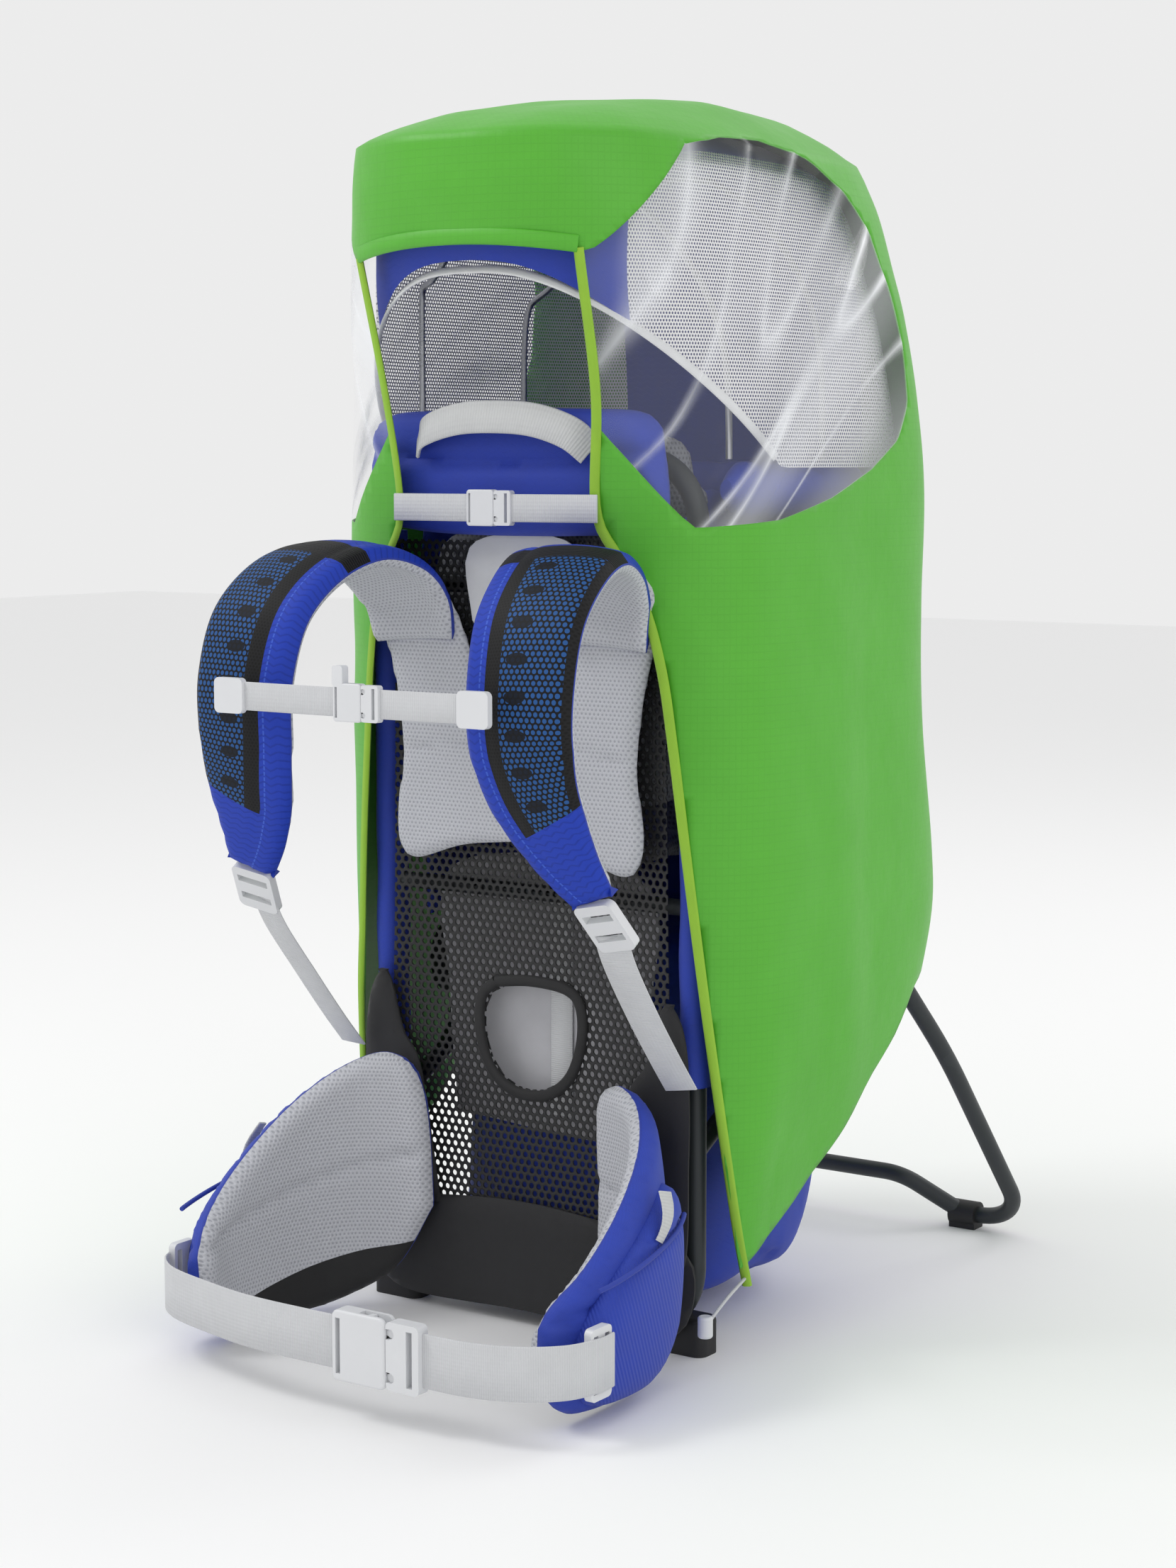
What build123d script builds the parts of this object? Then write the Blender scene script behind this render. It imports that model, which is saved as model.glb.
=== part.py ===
from build123d import *
import os
from math import cos, radians, sin

# Framed child-carrier backpack with kickstand, sunshade and rain cover.
# Millimetres. +Z is up, the wearer's side faces -Y, the kickstand stands towards +Y,
# and X is the carrier's width, symmetric about X = 0. The floor is Z = 0.

os.makedirs("parts", exist_ok=True)

# ---- driving dimensions -------------------------------------------------------
GAP = 0.4  # clearance between neighbouring soft goods
ORIGIN_SHIFT_Y = -31  # moves the middle of the carrier's box onto Y = 0 when it is written

# frame
UPRIGHT_X = 140  # centre of each upright
HOOP_Y = -55
HOOP_BASE_Z = 15
HOOP_TOP_Z = 655
HOOP_D = 16
SIDE_TUBE_D = 14
CROSSBAR_D = 12

# kickstand
PIVOT_X = 163
PIVOT_Y = 98
PIVOT_Z = 345
PIN_D = 8
PIN_PLAY = 0.05
LEG_D = 14
STAND_ANGLE = 50.6  # leg plane below horizontal, standing
LEG_LENGTH = 431  # hinge to foot bar, along the leg plane
BAR_RISE = 43  # the foot bar's arch in its middle, along the leg plane
FOOT_X = 141

# back side
MESH_Y = -72
MESH_T = 3
HOLE_Z = 221
HOLE_HALF_X = 43
HOLE_HALF_Z = 40
RIM_W = 9
BAND_TOP_Z = 92
TOP_PANEL_Z = (597, 688)
TOP_PANEL_HALF = 130
HANDLE_Z = 680

# harness
STRAP_T = 14
YOKE_T = 12
YOKE_Y = -83
STERNUM_Z = 489
STERNUM_Y = -272
SLIDER_X = 107

# hip belt
BELT_Z = 52
BELT_Y = -314
BELT_MOUTH_X = 60
WING_T = 26
TIP_X = 184
TIP_Y = -250

# webbing
HIP_WEB = 38
SMALL_WEB = 20
WEB_T = 1.6

# neck strap of the rain cover
NECK_Z = 619
NECK_Y = -111

# rain cover
COVER_T = 1.6
BINDING_W = 5


# ---- helpers ------------------------------------------------------------------
def write(part, name):
    """Labels one finished piece, moves it into the written frame and writes it."""
    placed = part.moved(Location((0, ORIGIN_SHIFT_Y, 0)))
    placed.label = name
    export_step(placed, f"parts/{name}.step")


def write_pair(part, name):
    """Writes a right-hand piece and its mirror image."""
    write(part, f"{name}_right")
    with BuildPart() as twin:
        mirror(part, about=Plane.YZ)
    write(twin.part, f"{name}_left")


def write_both(part, name):
    """Writes a right-hand piece and its mirror image as one node of two solids."""
    with BuildPart() as pair:
        add(part)
        mirror(part, about=Plane.YZ)
    write(pair.part, name)


def start_plane(wire):
    """Plane square to a path at its start."""
    return Plane(origin=wire @ 0, z_dir=wire % 0)


def upright_plane(wire):
    """Plane square to a level path at its start, with its local Y axis pointing up."""
    along = wire % 0
    return Plane(origin=wire @ 0, x_dir=Vector(0, 0, 1).cross(along) * -1, z_dir=along)


def cover_sections(inset):
    """Level sections of the rain cover: height, half width, front, rear, front and rear radius."""
    rows = [
        (45, 172, -90, 125, 30, 30),
        (165, 189, -92, 178, 45, 45),
        (215, 197, -92, 228, 60, 60),
        (290, 201, -94, 262, 65, 65),
        (350, 201, -96, 262, 65, 65),
        (450, 198, -98, 243, 65, 60),
        (630, 193, -112, 257, 75, 60),
        (725, 183, -130, 253, 95, 60),
        (800, 167, -162, 250, 120, 60),
        (860, 153, -174, 236, 120, 60),
        (880, 145, -174, 222, 115, 58),
        (900, 114, -130, 196, 90, 55),
        (922, 68, -10, 156, 45, 45),
    ]
    return [
        (z, half - inset, front + inset, rear - inset, front_radius - inset, rear_radius - inset)
        for z, half, front, rear, front_radius, rear_radius in rows
    ]


def hood_shell(sections):
    """Solid lofted through level rectangles with round front and rear corners."""
    with BuildPart() as solid:
        for z, half, front, rear, front_radius, rear_radius in sections:
            with BuildSketch(Plane.XY.offset(z)) as section:
                with Locations((0, (front + rear) / 2)):
                    Rectangle(2 * half, rear - front)
                fillet(section.vertices().sort_by(Axis.Y)[:2], radius=front_radius)
                fillet(section.vertices().sort_by(Axis.Y)[-2:], radius=rear_radius)
        loft(ruled=True)
    return solid.part


# ---- frame --------------------------------------------------------------------
with BuildPart() as frame_hoop:
    with BuildLine(Plane.XZ.offset(-HOOP_Y)) as half_hoop:
        FilletPolyline(
            (0, HOOP_BASE_Z),
            (UPRIGHT_X, HOOP_BASE_Z),
            (UPRIGHT_X, HOOP_TOP_Z),
            (0, HOOP_TOP_Z),
            radius=48,
        )
    with BuildSketch(start_plane(half_hoop.line)):
        Circle(HOOP_D / 2)
    sweep(path=half_hoop.line)
    mirror(about=Plane.YZ)
write(frame_hoop.part, "frame_hoop")

with BuildPart() as side_tube:
    with BuildLine(Plane.YZ.offset(UPRIGHT_X)) as side_path:
        FilletPolyline((HOOP_Y, 480), (20, 462), (74, 345), (20, 190), (HOOP_Y, 150), radius=40)
    with BuildSketch(start_plane(side_path.line)):
        Circle(SIDE_TUBE_D / 2)
    sweep(path=side_path.line)
    add(frame_hoop.part, mode=Mode.SUBTRACT)
side_tube_solid = side_tube.part.solids().sort_by(SortBy.VOLUME)[-1]
write_both(side_tube_solid, "side_tubes")

with BuildPart() as crossbars:
    with BuildSketch(Plane.YZ.offset(-UPRIGHT_X + HOOP_D / 2 - 1)):
        with Locations((HOOP_Y, 330), (HOOP_Y, 560)):
            Circle(CROSSBAR_D / 2)
    extrude(amount=2 * UPRIGHT_X - HOOP_D + 2)
    add(frame_hoop.part, mode=Mode.SUBTRACT)
write(crossbars.part, "crossbars")

# moulded housing that joins each side tube to the kickstand pivot
HOUSING_IN = 129
HOUSING_OUT = PIVOT_X - LEG_D / 2 - 0.5
with BuildPart() as hinge_housing:
    with BuildSketch(Plane.YZ.offset(HOUSING_IN)):
        with Locations((62, PIVOT_Z)):
            Circle(24)
        with Locations((PIVOT_Y, PIVOT_Z)):
            Circle(19)
        make_hull()
    extrude(amount=HOUSING_OUT - HOUSING_IN)
    fillet(hinge_housing.faces().sort_by(Axis.X)[-1].edges(), radius=3)
    add(side_tube_solid, mode=Mode.SUBTRACT)
    with BuildSketch(Plane.YZ.offset(HOUSING_IN)):
        with Locations((PIVOT_Y, PIVOT_Z)):
            Circle(PIN_D / 2)
    extrude(amount=HOUSING_OUT - HOUSING_IN, mode=Mode.SUBTRACT)
housing_solid = hinge_housing.part.solids().sort_by(SortBy.VOLUME)[-1]
write_both(housing_solid, "hinge_housings")

# pivot pins, pressed into the housings, with a head outside each leg
HEAD_IN = PIVOT_X + LEG_D / 2 + 0.5
with BuildPart() as hinge_pins:
    with BuildSketch(Plane.YZ.offset(HOUSING_IN)):
        with Locations((PIVOT_Y, PIVOT_Z)):
            Circle(PIN_D / 2)
    extrude(amount=HEAD_IN - HOUSING_IN)
    with BuildSketch(Plane.YZ.offset(HEAD_IN)):
        with Locations((PIVOT_Y, PIVOT_Z)):
            Circle(10)
    extrude(amount=4)
    fillet(hinge_pins.faces().sort_by(Axis.X)[-1].edges(), radius=1.5)
    mirror(about=Plane.YZ)
write(hinge_pins.part, "hinge_pins")

with BuildPart() as base_feet:
    with BuildSketch(Plane.XY):
        with Locations((132, HOOP_Y)):
            RectangleRounded(44, 26, 8)
    extrude(amount=28)
    fillet(base_feet.faces().sort_by(Axis.Z)[-1].edges(), radius=4)
    mirror(about=Plane.YZ)
    add(frame_hoop.part, mode=Mode.SUBTRACT)
write(base_feet.part, "base_feet")

# ---- kickstand ----------------------------------------------------------------
stand_down = Vector(0, cos(radians(STAND_ANGLE)), -sin(radians(STAND_ANGLE)))
leg_plane = Plane(
    origin=(0, PIVOT_Y, PIVOT_Z), x_dir=(1, 0, 0), z_dir=Vector(1, 0, 0).cross(stand_down)
)
with BuildPart() as kickstand_tube:
    with BuildLine(leg_plane) as half_stand:
        FilletPolyline(
            (0, LEG_LENGTH - BAR_RISE),
            (96, LEG_LENGTH - BAR_RISE),
            (FOOT_X, LEG_LENGTH),
            (200, LEG_LENGTH),
            (194, 215),
            (PIVOT_X, 0),
            radius=[40, 34, 42, 600],
        )
    with BuildSketch(start_plane(half_stand.line)):
        Circle(LEG_D / 2)
    sweep(path=half_stand.line)
    with BuildSketch(Plane.YZ.offset(PIVOT_X - LEG_D / 2)):
        with Locations((PIVOT_Y, PIVOT_Z)):
            Circle(14)
    extrude(amount=LEG_D)
    with BuildSketch(Plane.YZ.offset(PIVOT_X - LEG_D)):
        with Locations((PIVOT_Y, PIVOT_Z)):
            Circle(18)
    extrude(amount=LEG_D / 2, mode=Mode.SUBTRACT)
    with BuildSketch(Plane.YZ.offset(PIVOT_X + LEG_D / 2)):
        with Locations((PIVOT_Y, PIVOT_Z)):
            Circle(18)
    extrude(amount=LEG_D / 2, mode=Mode.SUBTRACT)
    with BuildSketch(Plane.YZ.offset(PIVOT_X - LEG_D)):
        with Locations((PIVOT_Y, PIVOT_Z)):
            Circle(PIN_D / 2 + PIN_PLAY)
    extrude(amount=2 * LEG_D, mode=Mode.SUBTRACT)
    mirror(about=Plane.YZ)
write(kickstand_tube.part, "kickstand_tube")

foot_y = PIVOT_Y + LEG_LENGTH * stand_down.Y
foot_z = PIVOT_Z + LEG_LENGTH * stand_down.Z
with BuildPart() as kickstand_feet:
    with BuildSketch(Plane.YZ.offset(FOOT_X - 9)):
        with Locations((foot_y, foot_z)):
            Circle(LEG_D / 2 + 4)
        with Locations((foot_y, foot_z / 2)):
            Rectangle(16, foot_z)
    extrude(amount=24)
    mirror(about=Plane.YZ)
    add(kickstand_tube.part, mode=Mode.SUBTRACT)
write(kickstand_feet.part, "kickstand_feet")

# ---- back side ----------------------------------------------------------------
with BuildPart() as back_mesh:
    with BuildSketch(Plane.XZ.offset(-MESH_Y - MESH_T / 2)):
        with BuildLine():
            Polyline((-132, 95), (132, 95), (124, 300), (120, 594), (-120, 594), (-124, 300), (-132, 95))
        make_face()
        with Locations((0, HOLE_Z)):
            Ellipse(HOLE_HALF_X + RIM_W, HOLE_HALF_Z + RIM_W, mode=Mode.SUBTRACT)
    extrude(amount=MESH_T)
write(back_mesh.part, "back_mesh")

with BuildPart() as hole_rim:
    with BuildSketch(Plane.XZ.offset(-MESH_Y - 2.5)):
        with Locations((0, HOLE_Z)):
            Ellipse(HOLE_HALF_X + RIM_W - GAP, HOLE_HALF_Z + RIM_W - GAP)
            Ellipse(HOLE_HALF_X, HOLE_HALF_Z, mode=Mode.SUBTRACT)
    extrude(amount=5)
write(hole_rim.part, "hole_rim")

with BuildPart() as bottom_band:
    with BuildSketch(Plane.XZ.offset(-MESH_Y - 2)):
        with BuildLine():
            Polyline((-120, 8), (120, 8), (148, 30), (148, 88))
            ThreePointArc((148, 88), (0, BAND_TOP_Z + 2.6), (-148, 88))
            Polyline((-148, 88), (-148, 30), (-120, 8))
        make_face()
    extrude(amount=6)
    add(back_mesh.part, mode=Mode.SUBTRACT)
write(bottom_band.part, "bottom_band")

with BuildPart() as top_panel:
    with BuildSketch(Plane.XZ.offset(78)):
        with Locations((0, sum(TOP_PANEL_Z) / 2)):
            RectangleRounded(2 * TOP_PANEL_HALF, TOP_PANEL_Z[1] - TOP_PANEL_Z[0], 18)
    extrude(amount=18)
    fillet(top_panel.faces().sort_by(Axis.Y)[0].edges(), radius=6)
write(top_panel.part, "top_panel")

with BuildPart() as label_patch:
    with BuildSketch(Plane.XZ.offset(77)):
        with Locations((2, 560)):
            RectangleRounded(92, 64, 3)
    extrude(amount=1.2)
write(label_patch.part, "label_patch")

with BuildPart() as grab_handle:
    with BuildLine(Plane.XY.offset(HANDLE_Z)) as handle_path:
        FilletPolyline((-76, -97.8), (-64, -107), (64, -107), (76, -97.8), radius=10)
    with BuildSketch(upright_plane(handle_path.line)):
        Rectangle(2.4, 25)
    sweep(path=handle_path.line)
write(grab_handle.part, "grab_handle")

# ---- child side ---------------------------------------------------------------
BAG_LEVELS = [(20, 236, -25, 165, 50), (110, 250, -38, 208, 56), (205, 220, -36, 200, 52), (296, 216, -34, 166, 50)]
with BuildPart() as lower_bag:
    for level, width, front, rear, radius in BAG_LEVELS:
        with BuildSketch(Plane.XY.offset(level)):
            with Locations((0, (front + rear) / 2)):
                RectangleRounded(width, rear - front, radius)
    loft(ruled=True)
write(lower_bag.part, "lower_bag")

with BuildPart() as side_wall:
    with BuildSketch(Plane.YZ.offset(118)):
        with BuildLine():
            Polyline((-38, 300), (158, 300), (168, 440), (172, 606), (-38, 606), (-38, 300))
        make_face()
    extrude(amount=5)
write_both(side_wall.part, "side_walls")

with BuildPart() as rear_wall:
    with BuildSketch(Plane.YZ.offset(-117)):
        with BuildLine():
            Polyline((150, 300), (156, 300), (170, 606), (164, 606), (150, 300))
        make_face()
    extrude(amount=234)
write(rear_wall.part, "rear_wall")

with BuildPart() as cockpit_rim:
    with BuildLine(Plane.XY.offset(630)) as rim_path:
        FilletPolyline((150, -36), (150, 196), (-150, 196), (-150, -36), radius=70)
    with BuildSketch(upright_plane(rim_path.line)):
        RectangleRounded(30, 44, 13)
    sweep(path=rim_path.line)
write(cockpit_rim.part, "cockpit_rim")

with BuildPart() as face_pad:
    with BuildSketch(Plane.XZ.offset(38)):
        with Locations((0, 640)):
            RectangleRounded(226, 66, 26)
    extrude(amount=-30)
    fillet(face_pad.faces().sort_by(Axis.Y)[-1].edges(), radius=8)
write(face_pad.part, "face_pad")

with BuildPart() as child_front_pad:
    with BuildSketch(Plane.XZ.offset(38)):
        with Locations((0, 500)):
            RectangleRounded(210, 200, 30)
    extrude(amount=-16)
write(child_front_pad.part, "child_front_pad")

with BuildPart() as seat_pad:
    with BuildSketch(Plane.YZ.offset(-70)):
        with BuildLine():
            Polyline((-14, 352), (120, 340), (138, 380), (128, 386), (112, 362), (-14, 372), (-14, 352))
        make_face()
    extrude(amount=140)
write(seat_pad.part, "seat_pad")

with BuildPart() as child_harness:
    with BuildSketch(Plane.YZ.offset(28)):
        with BuildLine():
            Polyline((146, 590), (152, 590), (100, 470), (90, 420), (84, 424), (92, 474), (146, 590))
        make_face()
    extrude(amount=42)
    mirror(about=Plane.YZ)
write(child_harness.part, "child_harness")

with BuildPart() as stirrup:
    with BuildSketch(Plane.YZ.offset(112)):
        with Locations((8, 261)):
            Rectangle(64, 66)
            Rectangle(60, 62, mode=Mode.SUBTRACT)
    extrude(amount=19)
write_pair(stirrup.part, "stirrup")

# ---- sunshade -----------------------------------------------------------------
SHADE_IN = 14
SHADE_T = 1.4
SHADE_TOP_HALF = 92
SHADE_DROP = 12
shade_outer = hood_shell(cover_sections(SHADE_IN))
shade_inner = hood_shell(cover_sections(SHADE_IN + SHADE_T))
with BuildPart() as shade:
    add(shade_outer)
    add(shade_inner.moved(Location((0, 0, -SHADE_T))), mode=Mode.SUBTRACT)
    # only the dome behind the slanting front edge is left
    with BuildSketch(Plane.YZ.offset(-260)):
        with BuildLine():
            Polyline((-260, 992), (-260, 812), (-155, 812), (-3, 667), (300, 667), (300, 992), (-260, 992))
        make_face()
    extrude(amount=520, mode=Mode.INTERSECT)
shade_body = shade.part.moved(Location((0, 0, -SHADE_DROP)))

with BuildPart() as sunshade_top:
    add(shade_body)
    with BuildSketch(Plane.XZ.offset(-400)):
        with Locations((0, 600)):
            Rectangle(2 * SHADE_TOP_HALF, 900)
    extrude(amount=900, mode=Mode.INTERSECT)
write(sunshade_top.part.solids().sort_by(SortBy.VOLUME)[-1], "sunshade_top")

with BuildPart() as sunshade_side:
    add(shade_body)
    with BuildSketch(Plane.XZ.offset(-400)):
        with Locations((SHADE_TOP_HALF + 0.3 + 100, 600)):
            Rectangle(200, 900)
    extrude(amount=900, mode=Mode.INTERSECT)
write_both(sunshade_side.part.solids().sort_by(SortBy.VOLUME)[-1], "sunshade_sides")

with BuildPart() as sunshade_wires:
    for foot_at, peak in (((148, -14), (0, -60, 870)), ((148, 120), (0, 130, 872))):
        with BuildLine() as arch:
            Spline(
                (foot_at[0] - 8, foot_at[1], 654),
                (118, (foot_at[1] * 2 + peak[1]) / 3, 790),
                peak,
                (-118, (foot_at[1] * 2 + peak[1]) / 3, 790),
                (-foot_at[0] + 8, foot_at[1], 654),
                tangents=[(0, 0, 1), (0, 0, -1)],
            )
        with BuildSketch(start_plane(arch.line)):
            Circle(2.5)
        sweep(path=arch.line)
write(sunshade_wires.part, "sunshade_wires")

# ---- rain cover ---------------------------------------------------------------
cover_outer = hood_shell(cover_sections(0))
cover_inner = hood_shell(cover_sections(COVER_T))
with BuildPart() as cover:
    add(cover_outer)
    add(cover_inner.moved(Location((0, 0, -COVER_T))), mode=Mode.SUBTRACT)
    # hem, low at the sides and raised behind for the kickstand
    with BuildSketch(Plane.YZ.offset(-260)):
        with BuildLine():
            Polyline(
                (-260, 47), (-96, 47), (-43, 64), (78, 148), (150, 212), (178, 244), (215, 258),
                (300, 262), (300, 0), (-260, 0), (-260, 47),
            )
        make_face()
    extrude(amount=520, mode=Mode.SUBTRACT)


def front_opening(wider):
    """Prism of the opening between the cover's two front edges, made wider on each side."""
    right = [(171, 40), (171, 107), (162, 228), (155, 297), (147, 376), (132, 505), (121, 550),
             (101, 585), (87, 619), (96, 724), (96, 799)]
    right = [(x + wider, z) for x, z in right]
    left = [(-x, z) for x, z in reversed(right)]
    with BuildPart() as prism:
        with BuildSketch(Plane.XZ.offset(60)):
            with BuildLine():
                Polyline(*right, *left, right[0])
            make_face()
        extrude(amount=200)
    return prism.part


def window_prism():
    """Prism of the clear side windows, seen along X."""
    with BuildPart() as prism:
        with BuildSketch(Plane.YZ.offset(-260)):
            with BuildLine():
                Polyline(
                    (-220, 798), (-138, 798), (-105, 838), (-72, 874), (-30, 882), (15, 884), (80, 876), (140, 852),
                    (170, 815), (184, 735), (174, 690), (140, 667), (78, 638), (-20, 610), (-220, 606),
                    (-220, 798),
                )
            make_face()
        extrude(amount=520)
        # the fabric patch beside each neck strap end stays
        with BuildSketch(Plane.XZ.offset(60)):
            with BuildLine():
                Polyline((-159, 600), (-92, 677), (92, 677), (159, 600), (-159, 600))
            make_face()
        extrude(amount=200, mode=Mode.SUBTRACT)
    return prism.part


opening = front_opening(0)
opening_wide = front_opening(BINDING_W)
window_shape = window_prism()

with BuildPart() as rain_cover_shell:
    add(cover.part)
    add(opening_wide, mode=Mode.SUBTRACT)
    add(window_shape, mode=Mode.SUBTRACT)
write(rain_cover_shell.part.solids().sort_by(SortBy.VOLUME)[-1], "rain_cover_shell")

with BuildPart() as cover_binding:
    add(cover.part)
    add(opening_wide, mode=Mode.INTERSECT)
    add(opening, mode=Mode.SUBTRACT)
write(cover_binding.part, "cover_binding")

with BuildPart() as windows:
    add(cover.part)
    add(opening_wide, mode=Mode.SUBTRACT)
    add(window_shape, mode=Mode.INTERSECT)
right_panes = [pane for pane in windows.part.solids() if pane.center().X > 20]
write_both(sorted(right_panes, key=lambda pane: pane.volume)[-1], "rain_windows")

with BuildPart() as hem_toggle:
    with BuildSketch(Plane.XY.offset(28)):
        with Locations((176, -98)):
            Circle(5.5)
    extrude(amount=16)
    fillet(hem_toggle.edges(), radius=2)
write(hem_toggle.part, "hem_toggle")


# ---- side-release buckles -----------------------------------------------------
def buckle(name, web, cx, cy, cz, whistle=False):
    """Writes one side-release buckle: socket on the -X side, plug and two prongs on the +X side.

    web is the webbing width it takes, and (cx, cy, cz) is the middle of the socket's mouth.
    """
    k = web / 38
    half = web / 2 + 6 * k
    thick = 13 * k
    cavity_half = web / 2 + 2 * k
    depth = 34 * k
    knuckle_x = 4 * k
    knuckle_z = web / 2 - 3.6 * k
    knuckle_r = 3.4 * k
    mouth = Plane(origin=(cx, cy, cz), x_dir=(1, 0, 0), z_dir=(0, -1, 0))

    with BuildPart() as socket:
        with BuildSketch(mouth.offset(-thick / 2)):
            with Locations((-23 * k, 0)):
                RectangleRounded(46 * k, 2 * half, 5 * k)
        extrude(amount=thick)
        fillet(socket.faces().sort_by(Axis.Y)[0].edges(), radius=2 * k)
        with BuildSketch(mouth.offset(-3.6 * k)):
            with Locations((-depth / 2, 0)):
                Rectangle(depth, 2 * cavity_half)
            for side in (1, -1):
                with Locations((-12 * k, side * (half - 1 * k))):
                    Rectangle(24 * k + 0.2, 8 * k)
        extrude(amount=7.2 * k, mode=Mode.SUBTRACT)
        with BuildSketch(mouth.offset(-thick)):
            with Locations((-40.5 * k, 0)):
                Rectangle(4 * k, web + 1)
        extrude(amount=2 * thick, mode=Mode.SUBTRACT)
        if whistle:
            with BuildSketch(mouth.offset(-thick / 2)):
                with Locations((-38 * k, half + 5)):
                    RectangleRounded(9, 14, 2)
            extrude(amount=thick)
    write(socket.part.solids().sort_by(SortBy.VOLUME)[-1], f"{name}_socket")

    with BuildPart() as plug:
        with BuildSketch(mouth.offset(-thick * 0.42)):
            with Locations((14.5 * k, 0)):
                RectangleRounded(28 * k, 2 * half - 2 * k, 4 * k)
        extrude(amount=thick * 0.84)
        with BuildSketch(mouth.offset(-2.4 * k)):
            with Locations((-11 * k, 0)):
                Rectangle(26 * k, 9 * k)
        extrude(amount=4.8 * k)
        # pockets for the prong knuckles, open towards the socket
        with BuildSketch(mouth.offset(-thick)):
            for side in (1, -1):
                with Locations((knuckle_x, side * knuckle_z)):
                    Circle(knuckle_r + 0.1)
                with Locations((knuckle_x - 6 * k, side * (knuckle_z - 0.4 * k))):
                    Rectangle(12 * k, 7.2 * k)
        extrude(amount=2 * thick, mode=Mode.SUBTRACT)
        # slot for the webbing
        with BuildSketch(mouth.offset(-thick)):
            with Locations((20.5 * k, 0)):
                Rectangle(5 * k, web + 1)
        extrude(amount=2 * thick, mode=Mode.SUBTRACT)
    write(plug.part.solids().sort_by(SortBy.VOLUME)[-1], f"{name}_plug")

    for end, side in (("upper", 1), ("lower", -1)):
        with BuildPart() as prong:
            with BuildSketch(mouth.offset(-3 * k)):
                with Locations((knuckle_x, side * knuckle_z)):
                    Circle(knuckle_r)
                with BuildLine():
                    Polyline(
                        (knuckle_x, side * (knuckle_z - 2 * k)),
                        (-25 * k, side * (knuckle_z - 2.4 * k)),
                        (-25 * k, side * (knuckle_z + 1.4 * k)),
                        (-17 * k, side * (half - 0.6 * k)),
                        (-13 * k, side * (half - 0.6 * k)),
                        (-11 * k, side * (knuckle_z + 2 * k)),
                        (knuckle_x, side * (knuckle_z + 1.6 * k)),
                        (knuckle_x, side * (knuckle_z - 2 * k)),
                    )
                make_face()
            extrude(amount=6 * k)
        write(prong.part, f"{name}_prong_{end}")


buckle("hip_buckle", HIP_WEB, BELT_MOUTH_X, BELT_Y, BELT_Z)
buckle("sternum_buckle", SMALL_WEB, 14, STERNUM_Y - 8, STERNUM_Z, whistle=True)
buckle("neck_buckle", SMALL_WEB, 6, NECK_Y - 6, NECK_Z)

# ---- neck strap webbing -------------------------------------------------------
for name, near, far in (("neck_webbing_left", -19, -87), ("neck_webbing_right", 22, 92)):
    with BuildPart() as neck_webbing:
        with BuildSketch(Plane.XZ.offset(-NECK_Y + 6 - WEB_T / 2)):
            with Locations(((near + far) / 2, NECK_Z)):
                Rectangle(abs(far - near), SMALL_WEB)
        extrude(amount=WEB_T)
    write(neck_webbing.part, name)

# ---- harness ------------------------------------------------------------------
with BuildPart() as yoke_pad:
    with BuildSketch(Plane.XZ.offset(-YOKE_Y - YOKE_T / 2)):
        with BuildLine():
            Polyline(
                (0, 372), (98, 352), (112, 372), (106, 440), (118, 500), (126, 548), (112, 556),
                (62, 556), (48, 520), (0, 462), (-48, 520), (-62, 556), (-112, 556), (-126, 548),
                (-118, 500), (-106, 440), (-112, 372), (-98, 352), (0, 372),
            )
        make_face()
    extrude(amount=YOKE_T)
write(yoke_pad.part, "yoke_pad")

with BuildPart() as strap_band:
    with BuildLine(Plane.YZ.offset(0)) as band_path:
        Spline(
            (-97, 500), (-103, 552), (-135, 583), (-180, 583), (-220, 558),
            (-246, 515), (-251, 470), (-241, 425), (-223, 390), (-206, 362),
        )
    with BuildSketch(Plane(origin=band_path.line @ 0, x_dir=(1, 0, 0), z_dir=band_path.line % 0)):
        with Locations((125, 0)):
            Rectangle(190, STRAP_T)
    sweep(path=band_path.line)

with BuildPart() as strap_outline:
    # front run, seen along Y
    with BuildSketch(Plane.XZ.offset(124)):
        with BuildLine():
            Polyline(
                (62, 640), (66, 570), (76, 530), (80, 488), (84, 455), (93, 425), (112, 390),
                (128, 368), (136, 352), (170, 360), (168, 385), (164, 420), (163, 461), (161, 503),
                (158, 545), (140, 640), (62, 640),
            )
        make_face()
    extrude(amount=190)
    # back run
    with BuildSketch(Plane.XZ.offset(80)):
        with BuildLine():
            Polyline((58, 640), (58, 480), (112, 480), (112, 520), (98, 536), (98, 640), (58, 640))
        make_face()
    extrude(amount=44)

with BuildPart() as strap_solid:
    add(strap_band.part)
    add(strap_outline.part, mode=Mode.INTERSECT)
    with BuildSketch(Plane.XZ.offset(-YOKE_Y + YOKE_T / 2 - 40 + GAP)):
        with Locations((100, 500)):
            Rectangle(200, 400)
    extrude(amount=40, mode=Mode.SUBTRACT)
write_pair(strap_solid.part.solids().sort_by(SortBy.VOLUME)[-1], "shoulder_strap")

# ladder lock under each strap tip
lock_plane = Plane(origin=(157, -193, 340), x_dir=(0.84, 0.30, 0.45), z_dir=(0, -0.83, -0.55))
with BuildPart() as ladder_lock:
    with BuildSketch(lock_plane):
        RectangleRounded(34, 40, 5)
        with Locations((0, 9)):
            Rectangle(26, 6, mode=Mode.SUBTRACT)
        with Locations((0, -8)):
            Rectangle(26, 6, mode=Mode.SUBTRACT)
    extrude(amount=7)
write_both(ladder_lock.part, "ladder_locks")

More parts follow.
